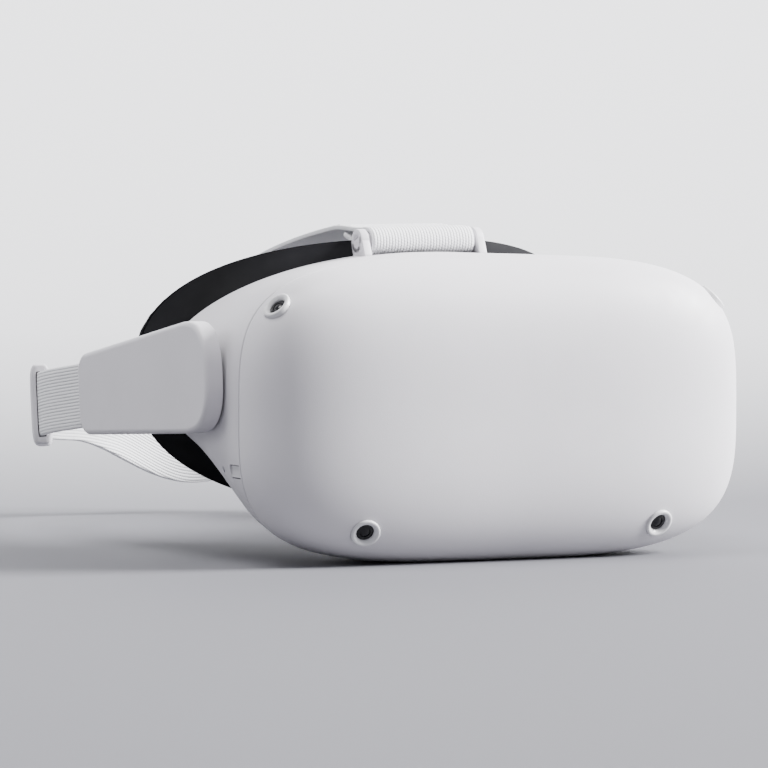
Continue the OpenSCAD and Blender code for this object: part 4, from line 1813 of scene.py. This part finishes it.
    def build_top(self) -> None:
        """Builds the top strap: its tail, the fold round the bar and the run to the back."""
        low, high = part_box("top_strap_loop")
        bar = (low + high) / 2
        half = self.top_thickness / 2
        fold = self.fold_radius + half
        finish = self.arms.point(0, self.arms.loop + self.radius - 0.0018, self.back_half_h - 0.003)
        first = Vector((0, bar.y + 0.002, bar.z + 0.008 - half))
        last = finish - Vector((0, 0, half))
        path: list[Vector] = []
        for step in range(49):
            share = step / 48
            point = first.lerp(last, share) + Vector((0, 0, self.top_bow * math.sin(math.pi * share)))
            point.z -= (self.dip - fold) * (1 - ease(share / self.dip_share))
            path.append(point)
        tail = []
        for step in range(5):
            share = step / 4
            drop = mix(2 * fold, self.top_thickness + 0.0002, ease(share))
            upper = path[step]
            tail.append(upper - Vector((0, -0.001, drop)))
        turn = []
        for step in range(1, 16):
            angle = -QUARTER - math.pi * step / 16
            turn.append(bar + Vector((0, math.cos(angle), math.sin(angle))) * fold)
        middle_line = list(reversed(tail)) + turn + path
        route = []
        for index, middle in enumerate(middle_line):
            before, after = middle_line[max(index - 1, 0)], middle_line[min(index + 1, len(middle_line) - 1)]
            run = (after - before).normalized()
            out = run.cross(Vector((-1, 0, 0)))
            route.append(Station(middle, Vector((1, 0, 0)), out, self.top_width, self.top_thickness))
        piece = strap("woven_top", route)
        dress_free(piece, self.finishes.webbing, "strap_fabric", "top_strap", "top_strap_loop")
        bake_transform(piece)
        offset = len(tail) + len(turn)
        places = []
        for index in (offset + 3, offset + 4):
            for step in range(11):
                across = mix(-0.44, 0.44, step / 10) * self.top_width
                places.append(self.stitch_place(route[index], across, along=False))
        for index in range(offset + 6, len(route) - 1):
            places += self.edge_stitches(route[index], self.top_width)
        thread = scatter("top_stitching", stitch(), places)
        dress_free(thread, self.finishes.thread, "strap_fabric")
        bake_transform(thread)


@dataclass
class StrapBar:
    """The turned bar that the top strap folds round, on two lugs in the notch."""

    form: VisorForm
    finishes: Finishes
    disc_r: float = 0.0043
    disc_t: float = 0.003
    bar_r: float = 0.003

    def build(self) -> None:
        """Builds the bar, its dished end discs and its lugs."""
        loop_low, loop_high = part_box("top_strap_loop")
        centre = (loop_low + loop_high) / 2
        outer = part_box("strap_bar")[1].x
        inner = outer - self.disc_t
        disc, bar = self.disc_r, self.bar_r
        end = [
            (0.0, outer - 0.0009),
            (disc * 0.38, outer - 0.0009),
            (disc * 0.46, outer - 0.0002),
            (disc * 0.54, outer),
            (disc - 0.0006, outer),
            (disc - 0.00015, outer - 0.0002),
            (disc, outer - 0.0006),
            (disc, inner + 0.0003),
            (disc - 0.0003, inner),
            (bar, inner),
        ]
        profile = [(radius, -along) for radius, along in end] + list(reversed(end))
        turned = lathe("turned", profile, axis_at(Vector((0, centre.y, centre.z)), Vector((1, 0, 0))))
        back, top = self.form.back, self.form.top
        outline = [
            (back - 0.0083, top - 0.0034),
            (back - 0.0083, top - 0.0004),
            (centre.y - 0.0034, centre.z + 0.0025),
            (centre.y + 0.0041, centre.z - 0.0009),
            (back - 0.0002, top - 0.0034),
        ]
        lugs = []
        for side in Side:
            start = inner if side is Side.LEFT else -outer
            place = Matrix(((0, 0, 1, start), (1, 0, 0, 0), (0, 1, 0, 0), (0, 0, 0, 1)))
            lug = slab("lug", outline, place, self.disc_t)
            with editing(lug):
                bpy.ops.mesh.select_all(action="SELECT")
                bpy.ops.mesh.bevel(offset=0.0004, segments=3)
            lugs.append(lug)
        piece = join("turned_bar", [turned, *lugs])
        smooth(piece, 40)
        dress(piece, self.finishes.arm, "visor", "housing_white", "strap_bar")


# ---- Inside the visor --------------------------------------------------------


@dataclass
class Electronics:
    """What the visor holds, all of which keeps its CAD shape."""

    finishes: Finishes

    def build(self) -> None:
        """Gives each inner piece its finish."""
        finishes = self.finishes
        refinish(finishes.chassis, "mid_frame")
        refinish(finishes.board, "main_board")
        refinish(finishes.black, "processor", "fan_housing")
        refinish(finishes.aluminium, "heat_sink")
        refinish(finishes.chassis, "fan_rotor")
        refinish(finishes.wrap, "battery_pack")
        refinish(finishes.screen, "display_panel")
        refinish(finishes.steel, "frame_screws")


# ---- Studio ------------------------------------------------------------------


@dataclass(frozen=True)
class SoftLight:
    """A rectangular studio light."""

    name: str
    place: Triple
    size: float
    power: float
    colour: Triple = (1.0, 1.0, 1.0)

    def add(self, target: Vector) -> None:
        """Hangs the light so that it looks at the target."""
        light = bpy.data.lights.new(self.name, "AREA")
        light.shape = "SQUARE"
        light.size = self.size
        light.energy = self.power
        light.color = self.colour
        lamp = bpy.data.objects.new(self.name, light)
        bpy.context.scene.collection.objects.link(lamp)
        lamp.location = self.place
        lamp.rotation_mode = "QUATERNION"
        lamp.rotation_quaternion = (target - lamp.location).to_track_quat("-Z", "Y")


@dataclass
class Studio:
    """A grey floor that curves up into a pale wall, soft light from the right, and the camera."""

    focus: Vector
    azimuth: float = math.radians(-26.3)
    elevation: float = math.radians(3.2)
    distance: float = 2.45
    lens: float = 345.0
    floor_size: float = 12.0
    wall_y: float = 2.4
    wall_bend: float = 0.8
    aim_left: float = 0.0283
    aim_up: float = 0.007

    def build(self) -> None:
        """Builds the floor, the lights and the camera."""
        self.build_floor()
        self.build_sky()
        for light in (
            SoftLight("key_light", (2.5, -0.85, 1.5), 1.2, 560.0),
            SoftLight("side_light", (-2.2, 1.3, 0.9), 1.0, 12.0, (0.96, 0.97, 1.0)),
        ):
            light.add(self.focus)
        SoftLight("wall_light", (-0.6, 0.2, 2.6), 1.6, 110.0).add(Vector((1.0, 2.2, 0.3)))
        self.build_camera()

    def build_floor(self) -> None:
        """Lays a grey floor that curves up into a pale wall behind the headset."""
        pick()
        bpy.ops.mesh.primitive_plane_add(size=self.floor_size, location=(0, 0, -0.0001))
        floor = named("studio_floor")
        half = self.floor_size / 2
        with editing(floor):
            choose(floor, lambda corners: all(corner.y > half - MERGE for corner in corners), "edges")
            bpy.ops.transform.translate(value=(0, self.wall_y - half, 0))
            bpy.ops.mesh.extrude_region_move(TRANSFORM_OT_translate={"value": (0, 0, half)})
        with editing(floor):
            back = self.wall_y - MERGE
            choose(floor, lambda corners: all(corner.y > back and corner.z < MERGE for corner in corners), "edges")
            bpy.ops.mesh.bevel(offset=self.wall_bend, segments=24)
        floor.data.transform(Matrix.Rotation(self.azimuth, 4, "Z"))
        smooth(floor, 180)
        recipe = Recipe("studio_floor")
        depth = recipe.node("ShaderNodeSeparateXYZ", {"Vector": recipe.object_place}).outputs["Y"]
        behind = recipe.ramp(depth, 0.2, 2.2, 0.0, 1.0)
        recipe.feed("Base Color", recipe.tint(behind, (0.12, 0.12, 0.135), (0.82, 0.82, 0.84)))
        recipe.feed("Roughness", 0.75)
        floor.data.materials.append(recipe.material)

    def build_sky(self) -> None:
        """Fills the room with even pale light."""
        world = bpy.data.worlds.new("studio")
        world.use_nodes = True
        sky = world.node_tree.nodes["Background"]
        sky.inputs["Color"].default_value = (0.93, 0.94, 0.97, 1.0)
        sky.inputs["Strength"].default_value = 0.46
        bpy.context.scene.world = world

    def build_camera(self) -> None:
        """Sets the camera at its viewing angle and aims it at the visor."""
        turn, rise = self.azimuth, self.elevation
        back = Vector((math.sin(turn) * math.cos(rise), -math.cos(turn) * math.cos(rise), math.sin(rise)))
        rotation = (-back).to_track_quat("-Z", "Y")
        right, up = rotation @ Vector((1, 0, 0)), rotation @ Vector((0, 1, 0))
        place = self.focus + back * self.distance
        target = self.focus - right * self.aim_left + up * self.aim_up
        camera = bpy.data.objects.new("camera", bpy.data.cameras.new("camera"))
        bpy.context.scene.collection.objects.link(camera)
        camera.data.lens = self.lens
        camera.data.clip_end = 200.0
        camera.location = place
        camera.rotation_mode = "QUATERNION"
        camera.rotation_quaternion = (target - place).to_track_quat("-Z", "Y")
        bpy.context.scene.camera = camera


# ---- The headset -------------------------------------------------------------


def main() -> None:
    """Builds the headset from the visor backwards, then the studio round it."""
    logging.basicConfig(level=logging.INFO, format="%(name)s: %(message)s")
    finishes = Finishes()
    form = VisorForm.measured()
    cameras = Cameras(form, finishes)
    shells = VisorShells(form, finishes)
    shells.build_cover(cameras.places(), cameras.radius + 0.0001, cameras.length)
    shells.build_housing()
    cameras.build()
    Controls(finishes).build()
    Optics(finishes).build()
    StrapBar(form, finishes).build()
    FacePad(form, finishes, front=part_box("face_frame")[0].y).build()
    arms = ArmFrame()
    low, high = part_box("arm_shell_left")
    SideArms(arms, finishes, inner=low.x, thickness=high.x - low.x).build()
    StrapSet(arms, finishes, radius=0.088, thickness=0.0024, width=0.022).build()
    Electronics(finishes).build()
    Studio(Vector((0, 0, form.top / 2))).build()


if __name__ == "__main__":
    main()
